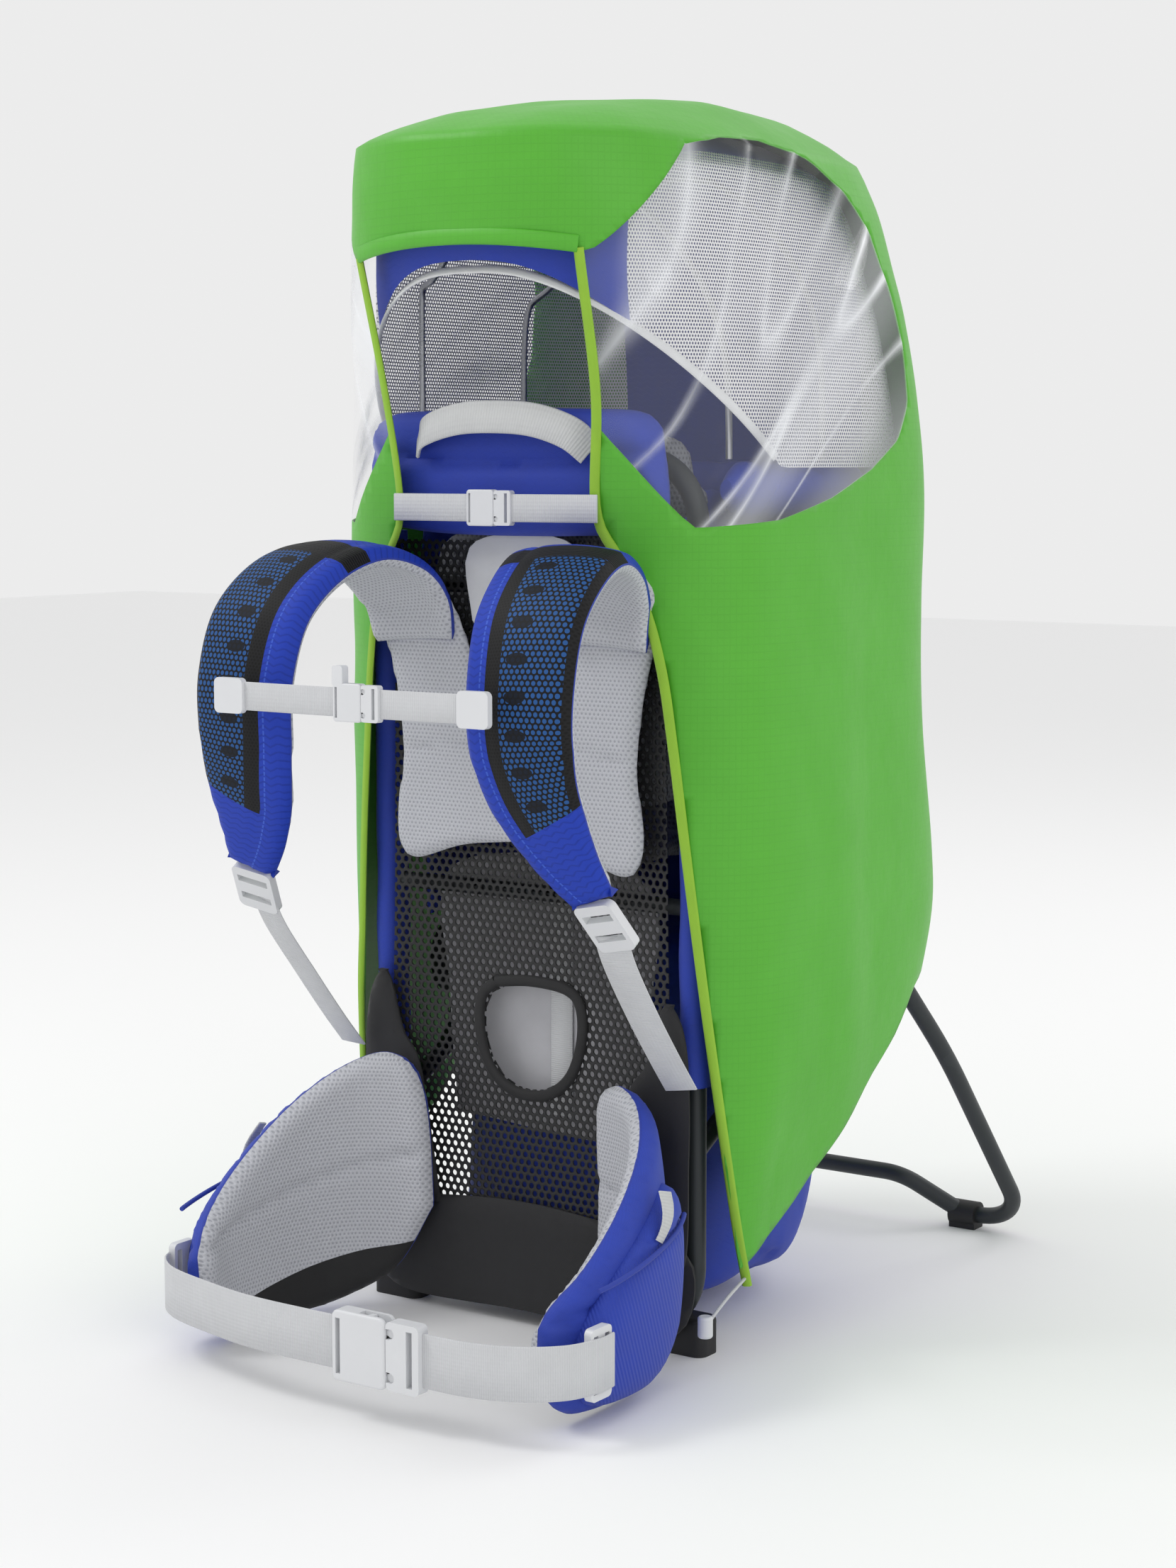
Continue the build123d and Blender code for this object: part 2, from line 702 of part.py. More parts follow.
# webbing from each ladder lock down to the pack's side
with BuildPart() as strap_webbing:
    with BuildLine() as web_path:
        Line((149, -174, 312), (150, -98, 214))
    along = web_path.line % 0
    with BuildSketch(Plane(origin=web_path.line @ 0, x_dir=(0.93, 0.0, -0.3), z_dir=along)):
        Rectangle(25, WEB_T)
    sweep(path=web_path.line)
write_both(strap_webbing.part, "strap_webbings")

# sternum strap: a slider on each shoulder strap, webbing and buckle between them
with BuildPart() as sternum_slider:
    with BuildSketch(Plane.XZ.offset(-STERNUM_Y + 4)):
        with Locations((SLIDER_X, STERNUM_Z)):
            RectangleRounded(26, 25, 4)
    extrude(amount=5)
write_both(sternum_slider.part, "sternum_sliders")

for name, near, far in (("sternum_webbing_left", -10.8, -93.5), ("sternum_webbing_right", 30, 93.5)):
    with BuildPart() as sternum_webbing:
        with BuildSketch(Plane.XZ.offset(-STERNUM_Y + 8 - WEB_T / 2)):
            with Locations(((near + far) / 2, STERNUM_Z)):
                Rectangle(abs(far - near), SMALL_WEB)
        extrude(amount=WEB_T)
    write(sternum_webbing.part, name)

# ---- hip belt -----------------------------------------------------------------
with BuildPart() as hip_wing:
    with BuildLine(Plane.XY.offset(90)) as wing_path:
        Spline((112, -95), (138, -112), (160, -150), (168, -200), (166, -250), (155, -288))
    with BuildSketch(upright_plane(wing_path.line)):
        Rectangle(WING_T, 230)
    sweep(path=wing_path.line)
    with BuildSketch(Plane.YZ.offset(60)):
        with BuildLine():
            Spline(
                (-80, 196), (-120, 200), (-160, 172), (-208, 132), (-243, 100), (-266, 62),
                (-250, 18), (-212, 3), (-150, 5), (-106, 24), (-80, 60),
            )
            Line((-80, 60), (-80, 196))
        make_face()
    extrude(amount=160, mode=Mode.INTERSECT)
write_pair(hip_wing.part.solids().sort_by(SortBy.VOLUME)[-1], "hip_wing")

with BuildPart() as tri_glide:
    with BuildSketch(Plane(origin=(TIP_X, TIP_Y, BELT_Z), x_dir=(0, 1, 0), z_dir=(1, 0, 0))):
        RectangleRounded(24, 50, 4)
        for slot_at in (-6.5, 6.5):
            with Locations((slot_at, 0)):
                Rectangle(5, 40, mode=Mode.SUBTRACT)
    extrude(amount=6)
write_both(tri_glide.part, "tri_glides")

SOCKET_END_X = BELT_MOUTH_X - 46
BELT_RUNS = {
    "hip_webbing_right": [(BELT_MOUTH_X + 30.2, BELT_Y), (128, BELT_Y + 1), (178, -292), (193, -265)],
    "hip_webbing_left": [(SOCKET_END_X - 1.7, BELT_Y), (-78, BELT_Y + 2), (-168, -288), (-193, -265)],
}
for name, run in BELT_RUNS.items():
    with BuildPart() as hip_webbing:
        with BuildSketch(Plane.XY.offset(BELT_Z - HIP_WEB / 2)):
            with BuildLine():
                FilletPolyline(*run, radius=[60, 20])
                offset(amount=WEB_T / 2, side=Side.BOTH)
            make_face()
        extrude(amount=HIP_WEB)
    write(hip_webbing.part, name)
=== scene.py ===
"""Looks of the framed child-carrier backpack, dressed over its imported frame.

Metres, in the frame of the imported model: +Z is up, -Y is the wearer's side, +Y the
kickstand's side, and X is the width.
"""

import logging
import math
from dataclasses import dataclass, field
from enum import Enum
from typing import Any, Callable, Sequence

import bmesh
import bpy
import numpy as np
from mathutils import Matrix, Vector


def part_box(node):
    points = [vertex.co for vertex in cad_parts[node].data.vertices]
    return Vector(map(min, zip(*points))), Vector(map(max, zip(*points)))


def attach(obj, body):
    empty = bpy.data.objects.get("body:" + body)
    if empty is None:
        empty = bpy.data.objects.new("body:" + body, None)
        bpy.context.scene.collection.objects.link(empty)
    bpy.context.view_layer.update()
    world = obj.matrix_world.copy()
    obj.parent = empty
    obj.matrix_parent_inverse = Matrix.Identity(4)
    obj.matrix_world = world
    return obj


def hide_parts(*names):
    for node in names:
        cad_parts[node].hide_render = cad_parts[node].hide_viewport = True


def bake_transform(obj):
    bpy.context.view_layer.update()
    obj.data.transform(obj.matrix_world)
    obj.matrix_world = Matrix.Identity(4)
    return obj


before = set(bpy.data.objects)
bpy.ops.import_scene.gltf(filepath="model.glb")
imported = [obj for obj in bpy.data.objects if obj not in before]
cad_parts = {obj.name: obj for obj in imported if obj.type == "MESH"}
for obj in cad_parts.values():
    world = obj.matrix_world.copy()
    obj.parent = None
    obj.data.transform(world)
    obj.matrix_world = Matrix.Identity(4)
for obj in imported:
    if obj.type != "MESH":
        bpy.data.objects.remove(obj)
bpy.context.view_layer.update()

LOG = logging.getLogger("carrier")
LAY = "lay"  # the flat, real-scale map every sewn piece carries
TURN = 6.283  # one turn in radians
RIM = "rim"  # distances from a strap's inboard and outboard edges
SHIFT = Vector((0.0, -0.031, 0.0))  # from the drawing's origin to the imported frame's
Colour = tuple[float, float, float]
Flat = tuple[float, float]
Place = Callable[[float, float, float], Vector]


# ---- shader maths -------------------------------------------------------------
class Val:
    """A number carried by a shader socket, with the operators the finishes use."""

    def __init__(self, tree: bpy.types.NodeTree, socket: bpy.types.NodeSocket) -> None:
        """Wraps one output socket of a tree."""
        self.tree = tree
        self.socket = socket

    def maths(self, operation: str, *others: "Val | float", first: bool = True) -> "Val":
        """Adds one Math node.

        Args:
            operation: the node's operation.
            others: the other operands.
            first: whether this value is the first operand.

        Returns:
            The node's result.
        """
        node = self.tree.nodes.new("ShaderNodeMath")
        node.operation = operation
        operands = [self, *others] if first else [*others, self]
        for slot, operand in zip(node.inputs, operands):
            if isinstance(operand, Val):
                self.tree.links.new(operand.socket, slot)
            else:
                slot.default_value = operand
        return Val(self.tree, node.outputs[0])

    def __add__(self, other: "Val | float") -> "Val":
        """Sum."""
        return self.maths("ADD", other)

    __radd__ = __add__

    def __mul__(self, other: "Val | float") -> "Val":
        """Product."""
        return self.maths("MULTIPLY", other)

    __rmul__ = __mul__

    def __sub__(self, other: "Val | float") -> "Val":
        """Difference."""
        return self.maths("SUBTRACT", other)

    def __rsub__(self, other: float) -> "Val":
        """Difference with a number first."""
        return self.maths("SUBTRACT", other, first=False)

    def __truediv__(self, other: "Val | float") -> "Val":
        """Quotient."""
        return self.maths("DIVIDE", other)

    def __lt__(self, other: "Val | float") -> "Val":
        """1 where this value is below the other, else 0."""
        return self.maths("LESS_THAN", other)

    def __gt__(self, other: "Val | float") -> "Val":
        """1 where this value is above the other, else 0."""
        return self.maths("GREATER_THAN", other)

    def fraction(self) -> "Val":
        """What is left after the whole number."""
        return self.maths("FRACT")

    def size(self) -> "Val":
        """Absolute value."""
        return self.maths("ABSOLUTE")

    def wave(self) -> "Val":
        """Sine."""
        return self.maths("SINE")

    def smaller(self, other: "Val | float") -> "Val":
        """The smaller of the two."""
        return self.maths("MINIMUM", other)

    def larger(self, other: "Val | float") -> "Val":
        """The larger of the two."""
        return self.maths("MAXIMUM", other)

    def root(self) -> "Val":
        """Square root."""
        return self.maths("SQRT")


class Source(Enum):
    """Where a finish measures its pattern."""

    SEWN = "sewn"  # the piece's own flat map
    SOLID = "solid"  # the piece's place in the carrier


class Shader:
    """One material under construction."""

    def __init__(self, name: str) -> None:
        """Starts an empty material with a Principled surface.

        Args:
            name: the finish's name.
        """
        self.material = bpy.data.materials.new(name)
        self.material.use_nodes = True
        self.tree = self.material.node_tree
        self.tree.nodes.clear()
        self.surface = self.node("ShaderNodeBsdfPrincipled")
        self.out = self.node("ShaderNodeOutputMaterial")
        self.tree.links.new(self.surface.outputs[0], self.out.inputs[0])

    def node(self, kind: str, settings: dict[str, Any] | None = None, **values: Any) -> bpy.types.Node:
        """Adds any node.

        Args:
            kind: the node's type.
            settings: properties set first, with "stops" for a ramp's positions and colours.
            values: numbers, colours or links for its sockets, named with _ for a space.

        Returns:
            The node.
        """
        node = self.tree.nodes.new(kind)
        for key, value in (settings or {}).items():
            if key == "stops":
                ramp = node.color_ramp
                for element, (position, shade) in zip(ramp.elements, value):
                    element.position = position
                    element.color = (*shade, 1)
                for position, shade in value[2:]:
                    ramp.elements.new(position).color = (*shade, 1)
            else:
                setattr(node, key, value)
        for key, value in values.items():
            self.feed(node.inputs[key.replace("_", " ")], value)
        return node

    def feed(self, socket: bpy.types.NodeSocket, value: Any) -> None:
        """Gives a socket a link or a value.

        Args:
            socket: the socket to feed.
            value: a number, a colour, a link or a worked value.
        """
        if isinstance(value, Val):
            self.tree.links.new(value.socket, socket)
        elif isinstance(value, bpy.types.NodeSocket):
            self.tree.links.new(value, socket)
        elif isinstance(value, tuple) and len(value) == 3 and socket.type == "RGBA":
            socket.default_value = (*value, 1)
        else:
            socket.default_value = value

    def place(self, source: Source) -> bpy.types.NodeSocket:
        """The coordinates that the pattern is measured in, in metres.

        Args:
            source: the map or the place to measure in.

        Returns:
            The coordinates.
        """
        if source is Source.SEWN:
            return self.node("ShaderNodeUVMap", {"uv_map": LAY}).outputs[0]
        return self.node("ShaderNodeTexCoord").outputs["Object"]

    def axes(self, place: bpy.types.NodeSocket) -> tuple[Val, Val, Val]:
        """The three coordinates as numbers."""
        split = self.node("ShaderNodeSeparateXYZ", Vector=place)
        return tuple(Val(self.tree, out) for out in split.outputs)

    def noise(self, place: bpy.types.NodeSocket, scale: float, detail: float = 3.0) -> Val:
        """Smooth noise from 0 to 1."""
        made = self.node("ShaderNodeTexNoise", None, Vector=place, Scale=scale, Detail=detail)
        return Val(self.tree, made.outputs[0])

    def blend(self, share: Val, low: Any, high: Any) -> bpy.types.NodeSocket:
        """Mixes two colours.

        Args:
            share: how much of the second colour.
            low: the first colour.
            high: the second colour.

        Returns:
            The mixed colour.
        """
        node = self.node("ShaderNodeMix", {"data_type": "RGBA"})
        self.feed(node.inputs[0], share)
        self.feed(node.inputs[6], low)
        self.feed(node.inputs[7], high)
        return node.outputs[2]

    def relief(self, height: Val, depth: float, strength: float = 1.0) -> None:
        """Bumps the surface by a height of 0 to 1 times depth in metres."""
        bump = self.node("ShaderNodeBump", None, Height=height, Distance=depth, Strength=strength)
        self.feed(self.surface.inputs["Normal"], bump.outputs[0])

    def dots(self, u: Val, v: Val, pitch: float) -> Val:
        """Distance to the nearest point of a hexagonal lattice, in pitches.

        Args:
            u: the first flat coordinate.
            v: the second flat coordinate.
            pitch: the distance between neighbours.

        Returns:
            The distance.
        """
        tall = math.sqrt(3)
        across, up = u / pitch, v / (pitch * tall)
        near = []
        for shift in (0.0, 0.5):
            a = (across + shift).fraction() - 0.5
            b = ((up + shift).fraction() - 0.5) * tall
            near.append(a * a + b * b)
        return near[0].smaller(near[1]).root()


# ---- finishes -----------------------------------------------------------------
@dataclass(frozen=True)
class Cloth:
    """Tightly woven pack cloth with an embossed brick pattern."""

    name: str
    colour: Colour
    emboss: float = 0.0  # brick length, 0 for none
    source: Source = Source.SOLID
    ribs: float = 0.0  # rib pitch of a stretch cloth, 0 for none

    def make(self) -> bpy.types.Material:
        """Builds the material.

        Returns:
            The material.
        """
        s = Shader(self.name)
        place = s.place(self.source)
        u, v, w = s.axes(place)
        if self.source is Source.SOLID:
            u, v = u + v * 0.9, w
        weave = ((u * 5200).wave() * (v * 5200).wave()) * 0.5 + 0.5
        mottled = s.noise(place, 55, 4)
        height = weave * 0.25 + mottled * 0.4
        if self.emboss:
            row = (v / (self.emboss * 0.45)).fraction()
            zig = ((u / self.emboss).fraction() - 0.5).size()
            groove = ((row - zig).size() < 0.11).larger((row - zig - 1.0).size() < 0.11)
            height = height - groove * 0.55
        if self.ribs:
            height = height + ((u + v * 0.35) * (TURN / self.ribs)).wave() * 0.6
        shade = tuple(c * 0.78 for c in self.colour)
        tint = tuple(min(1.0, c * 1.12 + 0.004) for c in self.colour)
        s.feed(s.surface.inputs["Base Color"], s.blend(mottled * 0.5 + weave * 0.4, shade, tint))
        s.feed(s.surface.inputs["Roughness"], mottled * 0.2 + 0.6)
        s.surface.inputs["Sheen Weight"].default_value = 0.06
        s.surface.inputs["Sheen Roughness"].default_value = 0.5
        s.relief(height, 0.0005, 0.7)
        return s.material


@dataclass(frozen=True)
class Ripstop:
    """Thin coated nylon with a grid of heavier threads."""

    name: str
    colour: Colour
    grid: float = 0.0055

    def make(self) -> bpy.types.Material:
        """Builds the material.

        Returns:
            The material.
        """
        s = Shader(self.name)
        place = s.place(Source.SOLID)
        u, v, w = s.axes(place)
        across = (u + v) * 0.85
        lines = ((across / self.grid).fraction() < 0.12).larger((w / self.grid).fraction() < 0.12)
        cloth = s.noise(place, 14, 5)
        fine = s.noise(place, 60, 3)
        tone = cloth * 0.5 + fine * 0.25 + lines * 0.12
        deep = tuple(c * 0.86 for c in self.colour)
        light = tuple(min(1.0, c * 1.1) for c in self.colour)
        s.feed(s.surface.inputs["Base Color"], s.blend(tone, light, deep))
        s.feed(s.surface.inputs["Roughness"], cloth * 0.15 + 0.42)
        s.surface.inputs["Sheen Weight"].default_value = 0.04
        s.relief(cloth * 0.9 + fine * 0.25 + lines * 0.05, 0.004, 0.55)
        return s.material


@dataclass(frozen=True)
class Spacer:
    """Padded spacer mesh with a lattice of small dimples."""

    name: str
    colour: Colour
    dimple: Colour
    pitch: float = 0.0042
    source: Source = Source.SEWN

    def make(self) -> bpy.types.Material:
        """Builds the material.

        Returns:
            The material.
        """
        s = Shader(self.name)
        place = s.place(self.source)
        u, v, w = s.axes(place)
        if self.source is Source.SOLID:
            u, v = u + v, w
        far = s.dots(u, v, self.pitch)
        hole = far < 0.25
        soft = s.noise(place, 40, 2)
        s.feed(s.surface.inputs["Base Color"], s.blend(hole * 0.8, self.colour, self.dimple))
        s.surface.inputs["Roughness"].default_value = 0.85
        s.surface.inputs["Sheen Weight"].default_value = 0.06
        s.relief(far * 1.4 + soft * 0.4, 0.0012, 0.8)
        return s.material


@dataclass(frozen=True)
class Netting:
    """Open knitted net: round holes that let the light through."""

    name: str
    colour: Colour
    pitch: float
    hole: float  # hole radius, in pitches
    source: Source = Source.SEWN
    veil: float = 0.0  # what a hole still hides

    def make(self) -> bpy.types.Material:
        """Builds the material.

        Returns:
            The material.
        """
        s = Shader(self.name)
        u, v, w = s.axes(s.place(self.source))
        if self.source is Source.SOLID:
            u, v = u + v * 0.95, w
        far = s.dots(u, v, self.pitch)
        thread = far > self.hole
        s.feed(s.surface.inputs["Base Color"], self.colour)
        s.surface.inputs["Roughness"].default_value = 0.55
        s.feed(s.surface.inputs["Alpha"], (thread + self.veil).smaller(1.0))
        s.relief(far, 0.0012, 0.8)
        return s.material


@dataclass(frozen=True)
class Webbing:
    """Flat ribbed webbing."""

    name: str
    colour: Colour
    rib: float = 0.0016

    def make(self) -> bpy.types.Material:
        """Builds the material.

        Returns:
            The material.
        """
        s = Shader(self.name)
        place = s.place(Source.SEWN)
        u, v, _ = s.axes(place)
        ribs = (v * (TURN / self.rib)).wave() * 0.5 + 0.5
        wales = (u * (TURN / (self.rib * 1.7))).wave() * 0.5 + 0.5
        worn = s.noise(place, 60, 3)
        dark = tuple(c * 0.8 for c in self.colour)
        s.feed(s.surface.inputs["Base Color"], s.blend(ribs * 0.35 + worn * 0.5, dark, self.colour))
        s.surface.inputs["Roughness"].default_value = 0.62
        s.surface.inputs["Sheen Weight"].default_value = 0.08
        s.relief(ribs * 0.7 + wales * 0.3, 0.0004, 0.8)
        return s.material


@dataclass(frozen=True)
class Moulded:
    """Moulded plastic or rubber."""

    name: str
    colour: Colour
    rough: float
    grain: float = 0.00006

    def make(self) -> bpy.types.Material:
        """Builds the material.

        Returns:
            The material.
        """
        s = Shader(self.name)
        place = s.place(Source.SOLID)
        skin = s.noise(place, 900, 2)
        cloud = s.noise(place, 18, 3)
        dark = tuple(c * 0.9 for c in self.colour)
        s.feed(s.surface.inputs["Base Color"], s.blend(cloud, dark, self.colour))
        s.feed(s.surface.inputs["Roughness"], cloud * 0.12 + self.rough)
        s.relief(skin, self.grain, 0.6)
        return s.material


@dataclass(frozen=True)
class Coated:
    """Powder-coated or brushed metal."""

    name: str
    colour: Colour
    metallic: float
    rough: float

    def make(self) -> bpy.types.Material:
        """Builds the material.

        Returns:
            The material.
        """
        s = Shader(self.name)
        place = s.place(Source.SOLID)
        speck = s.noise(place, 1300, 2)
        scuff = s.noise(place, 22, 5)
        pale = tuple(min(1.0, c * 1.5 + 0.01) for c in self.colour)
        s.feed(s.surface.inputs["Base Color"], s.blend((scuff > 0.62) * 0.25, self.colour, pale))
        s.surface.inputs["Metallic"].default_value = self.metallic
        s.feed(s.surface.inputs["Roughness"], scuff * 0.2 + self.rough)
        s.relief(speck, 0.00008, 0.5)
        return s.material


@dataclass(frozen=True)
class Film:
    """Clear flexible film with painted highlights where it catches light: white glints along its creases
    and broad glare patches.
    """

    name: str

    def make(self) -> bpy.types.Material:
        """Builds the material.

        Returns:
            The material.
        """
        s = Shader(self.name)
        place = s.place(Source.SOLID)
        x, y, z = s.axes(place)
        back, up = y - (SHIFT.y - 0.150), z - 0.48
        turn = up.maths("ARCTAN2", back)
        far = (back * back + up * up).root()
        fan = s.node("ShaderNodeCombineXYZ", None, X=turn + far * 0.5, Y=far * 0.35, Z=x * 1.0)
        crease = s.noise(fan.outputs[0], 6.0, 0.6)
        # painted highlight: narrow white glints along the creases
        crease_glint = (1.0 - ((crease - 0.5).size() * 15.0).smaller(1.0)) * (s.noise(place, 9.0, 1.0) * 1.3)
        # painted glare: broad whitish patches that stand in for reflections on the film
        sheet = (s.noise(fan.outputs[0], 3.2, 0.5) - 0.53).larger(0.0) * 2.6
        s.surface.inputs["Base Color"].default_value = (0.9, 0.92, 0.95, 1)
        s.surface.inputs["Roughness"].default_value = 0.05
        s.surface.inputs["Specular IOR Level"].default_value = 1.0
        # the painted glints and glare are laid into the opacity, so they show as white
        s.feed(s.surface.inputs["Alpha"], (crease_glint * crease_glint * 0.75 + sheet * 0.5 + 0.07).smaller(0.9))
        s.relief(crease, 0.02, 0.6)
        return s.material


@dataclass(frozen=True)
class StrapFace:
    """Outer face of a shoulder strap: blue edge, black border and a vented mesh panel."""

    name: str
    top: float = 0.118  # where the black band begins, along the strap
    band: float = 0.024
    foot: float = 0.345  # where the panel ends

    def make(self) -> bpy.types.Material:
        """Builds the material.

        Returns:
            The material.
        """
        s = Shader(self.name)
        u, v, _ = s.axes(s.node("ShaderNodeUVMap", {"uv_map": LAY}).outputs[0])
        inner, outer, _ = s.axes(s.node("ShaderNodeUVMap", {"uv_map": RIM}).outputs[0])
        far = s.dots(inner, v, 0.0044)
        thread = far > 0.36
        row = (v - self.top) / 0.0245
        dv = (row.fraction() - 0.5) * 0.0245
        du = inner - 0.047
        oval = ((du * du) / 0.0085**2 + (dv * dv) / 0.0042**2) < 1.0
        oval = oval * (v > self.top + self.band) * (v < self.foot - 0.01)
        border = (inner < 0.034).larger(outer < 0.004)
        blue = (inner < 0.021).larger(v > self.foot + (outer - 0.04) * 0.25).larger(v < self.top)
        band = (v > self.top) * (v < self.top + self.band)
        stitch = ((inner - 0.0165).size() < 0.0007) * ((v / 0.004).fraction() < 0.7)
        panel = s.blend(thread, (0.018, 0.085, 0.27), (0.002, 0.003, 0.006))
        panel = s.blend(oval * 0.96, panel, (0.003, 0.004, 0.007))
        net = s.dots(inner, v, 0.0026) < 0.3
        panel = s.blend(border, panel, s.blend(net, (0.008, 0.008, 0.009), (0.002, 0.002, 0.002)))
        brick = ((v / 0.0055).fraction() - ((inner / 0.011).fraction() - 0.5).size()).size() < 0.12
        cloth = s.blend(brick * 0.5, BLUE, tuple(c * 0.6 for c in BLUE))
        cloth = s.blend(stitch * 0.8, cloth, (0.05, 0.12, 0.6))
        panel = s.blend(blue, panel, cloth)
        panel = s.blend(band, panel, (0.005, 0.005, 0.006))
        s.surface.inputs["Specular IOR Level"].default_value = 0.25
        s.feed(s.surface.inputs["Base Color"], panel)
        s.surface.inputs["Roughness"].default_value = 0.62
        ribs = (v * (TURN / 0.002)).wave() * band * 0.3
        flat = thread * 0.4 - oval * 1.2
        height = blue * (1.4 - brick * 0.3) + (1.0 - blue) * (border * 0.8 + (1.0 - border) * flat)
        s.relief(height * (1.0 - band) + band * 2.0 + ribs - stitch * 0.4, 0.0009, 0.8)
        return s.material


BLUE: Colour = (0.014, 0.046, 0.42)
GREEN: Colour = (0.085, 0.42, 0.022)


@dataclass
class Finishes:
    """Every material of the carrier, made once."""

    made: dict[str, bpy.types.Material] = field(default_factory=dict)

    def build(self) -> None:
        """Makes them all."""
        for kind in (
            Cloth("blue cloth", BLUE, emboss=0.011),
            Cloth("blue sewn cloth", BLUE, emboss=0.011, source=Source.SEWN),
            Cloth("blue stretch cloth", BLUE, ribs=0.0034),
            Cloth("blue edge tape", (0.014, 0.04, 0.36), source=Source.SEWN),
            Cloth("black cloth", (0.012, 0.012, 0.014), source=Source.SOLID),
            Cloth("black tape", (0.008, 0.008, 0.009), source=Source.SEWN),
            Ripstop("lime ripstop", GREEN),
            Cloth("lime binding", (0.30, 0.56, 0.035), source=Source.SEWN),
            Cloth("white tape", (0.78, 0.79, 0.80), source=Source.SEWN),
            Cloth("label cloth", (0.70, 0.71, 0.72)),
            Spacer("grey spacer mesh", (0.55, 0.56, 0.60), (0.33, 0.34, 0.38), pitch=0.0036),
            Spacer("grey pad cloth", (0.30, 0.31, 0.34), (0.16, 0.16, 0.18), source=Source.SOLID),
            StrapFace("strap face"),
            Cloth("pale inner cloth", (0.50, 0.50, 0.53)),
            Netting("black back mesh", (0.012, 0.012, 0.013), 0.0066, 0.33),
            Netting("white shade mesh", (0.80, 0.80, 0.82), 0.0030, 0.30, source=Source.SOLID, veil=0.12),
            Webbing("white webbing", (0.66, 0.67, 0.69)),
            Webbing("grey handle webbing", (0.62, 0.63, 0.63), rib=0.0024),
            Moulded("white plastic", (0.72, 0.73, 0.75), 0.3),
            Moulded("black rubber", (0.012, 0.012, 0.013), 0.55, 0.0002),
            Coated("dark powder coat", (0.022, 0.027, 0.030), 0.15, 0.36),
            Coated("steel", (0.5, 0.51, 0.53), 1.0, 0.3),
            Film("clear film"),
        ):
            self.made[kind.name] = kind.make()

    def __getitem__(self, name: str) -> bpy.types.Material:
        """The material of that name."""
        return self.made[name]


FINISH = Finishes()


# ---- shaping tools ------------------------------------------------------------
def smooth_line(points: Sequence[Sequence[float]], count: int) -> list[Vector]:
    """Even stations on a Catmull-Rom curve through the points.

    Args:
        points: two or more points.
        count: how many stations to return.

    Returns:
        The stations, evenly spaced along the curve.
    """
    p = np.array(points, float)
    p = np.vstack([2 * p[0] - p[1], p, 2 * p[-1] - p[-2]])
    fine = []
    for i in range(1, len(p) - 2):
        for t in np.linspace(0, 1, 24, endpoint=i == len(p) - 3):
            a, b, c, d = p[i - 1 : i + 3]
            fine.append(
                0.5 * (
                    2 * b + (c - a) * t + (
                        2 * a - 5 * b + 4 * c - d
                    ) * t**2 + (3 * b - a - 3 * c + d) * t**3
                )
            )
    fine = np.array(fine)
    run = np.concatenate([[0], np.cumsum(np.linalg.norm(np.diff(fine, axis=0), axis=1))])
    want = np.linspace(0, run[-1], count)
    return [Vector([np.interp(w, run, fine[:, k]) for k in range(fine.shape[1])]) for w in want]


def outline_distance(outline: np.ndarray, points: np.ndarray) -> np.ndarray:
    """Signed distance from flat points to a closed outline, positive inside.

    Args:
        outline: the outline's points.
        points: the points to measure.

    Returns:
        One distance for each point.
    """
    a = outline
    b = np.roll(outline, -1, axis=0)
    ab = b - a
    ap = points[:, None, :] - a[None]
    t = np.clip((ap * ab).sum(-1) / np.maximum((ab * ab).sum(-1), 1e-12), 0, 1)
    gap = np.linalg.norm(ap - t[..., None] * ab, axis=-1).min(1)
    crosses = (a[None, :, 1] > points[:, None, 1]) != (b[None, :, 1] > points[:, None, 1])
    rise = np.where(np.abs(ab[:, 1]) < 1e-12, 1e-12, ab[:, 1])
    at = a[:, 0] + (points[:, None, 1] - a[:, 1]) / rise * ab[:, 0]
    inside = (crosses & (points[:, None, 0] < at)).sum(1) % 2 == 1
    return np.where(inside, gap, -gap)


def rounded(outline: Sequence[Flat], steps: int = 90) -> np.ndarray:
    """A closed outline smoothed through its points.

    Args:
        outline: the points to pass through.
        steps: how many points to return.

    Returns:
        The smoothed outline.
    """
    p = [tuple(q) for q in outline]
    closed = [*p, p[0]]
    return np.array([tuple(q) for q in smooth_line(closed, steps)])[:-1]


def cut_along(bm: bmesh.types.BMesh, side_of: Callable[[Vector], float]) -> None:
    """Splits a mesh's faces where a function of place changes sign.

    Args:
        bm: the mesh, cut in place.
        side_of: a function of place that is zero on the cut.
    """
    value = {v: side_of(v.co) for v in bm.verts}
    on_line: list[bmesh.types.BMVert] = []
    for edge in list(bm.edges):
        v0, v1 = edge.verts
        f0, f1 = value[v0], value[v1]
        if f0 * f1 >= 0:
            continue
        share = f0 / (f0 - f1)
        if share < 0.12 or share > 0.88:
            near = v0 if share < 0.5 else v1
            near.co = v0.co.lerp(v1.co, share)
            value[near] = 0.0
            on_line.append(near)
        else:
            _, new = bmesh.utils.edge_split(edge, v0, share)
            value[new] = 0.0
            on_line.append(new)
    bmesh.ops.connect_verts(bm, verts=list({v for v in on_line}), check_degenerate=True)


def drop_faces(bm: bmesh.types.BMesh, unwanted: Callable[[Vector], bool]) -> None:
    """Deletes the faces whose middle meets a test."""
    gone = [f for f in bm.faces if unwanted(f.calc_center_median())]
    bmesh.ops.delete(bm, geom=gone, context="FACES")


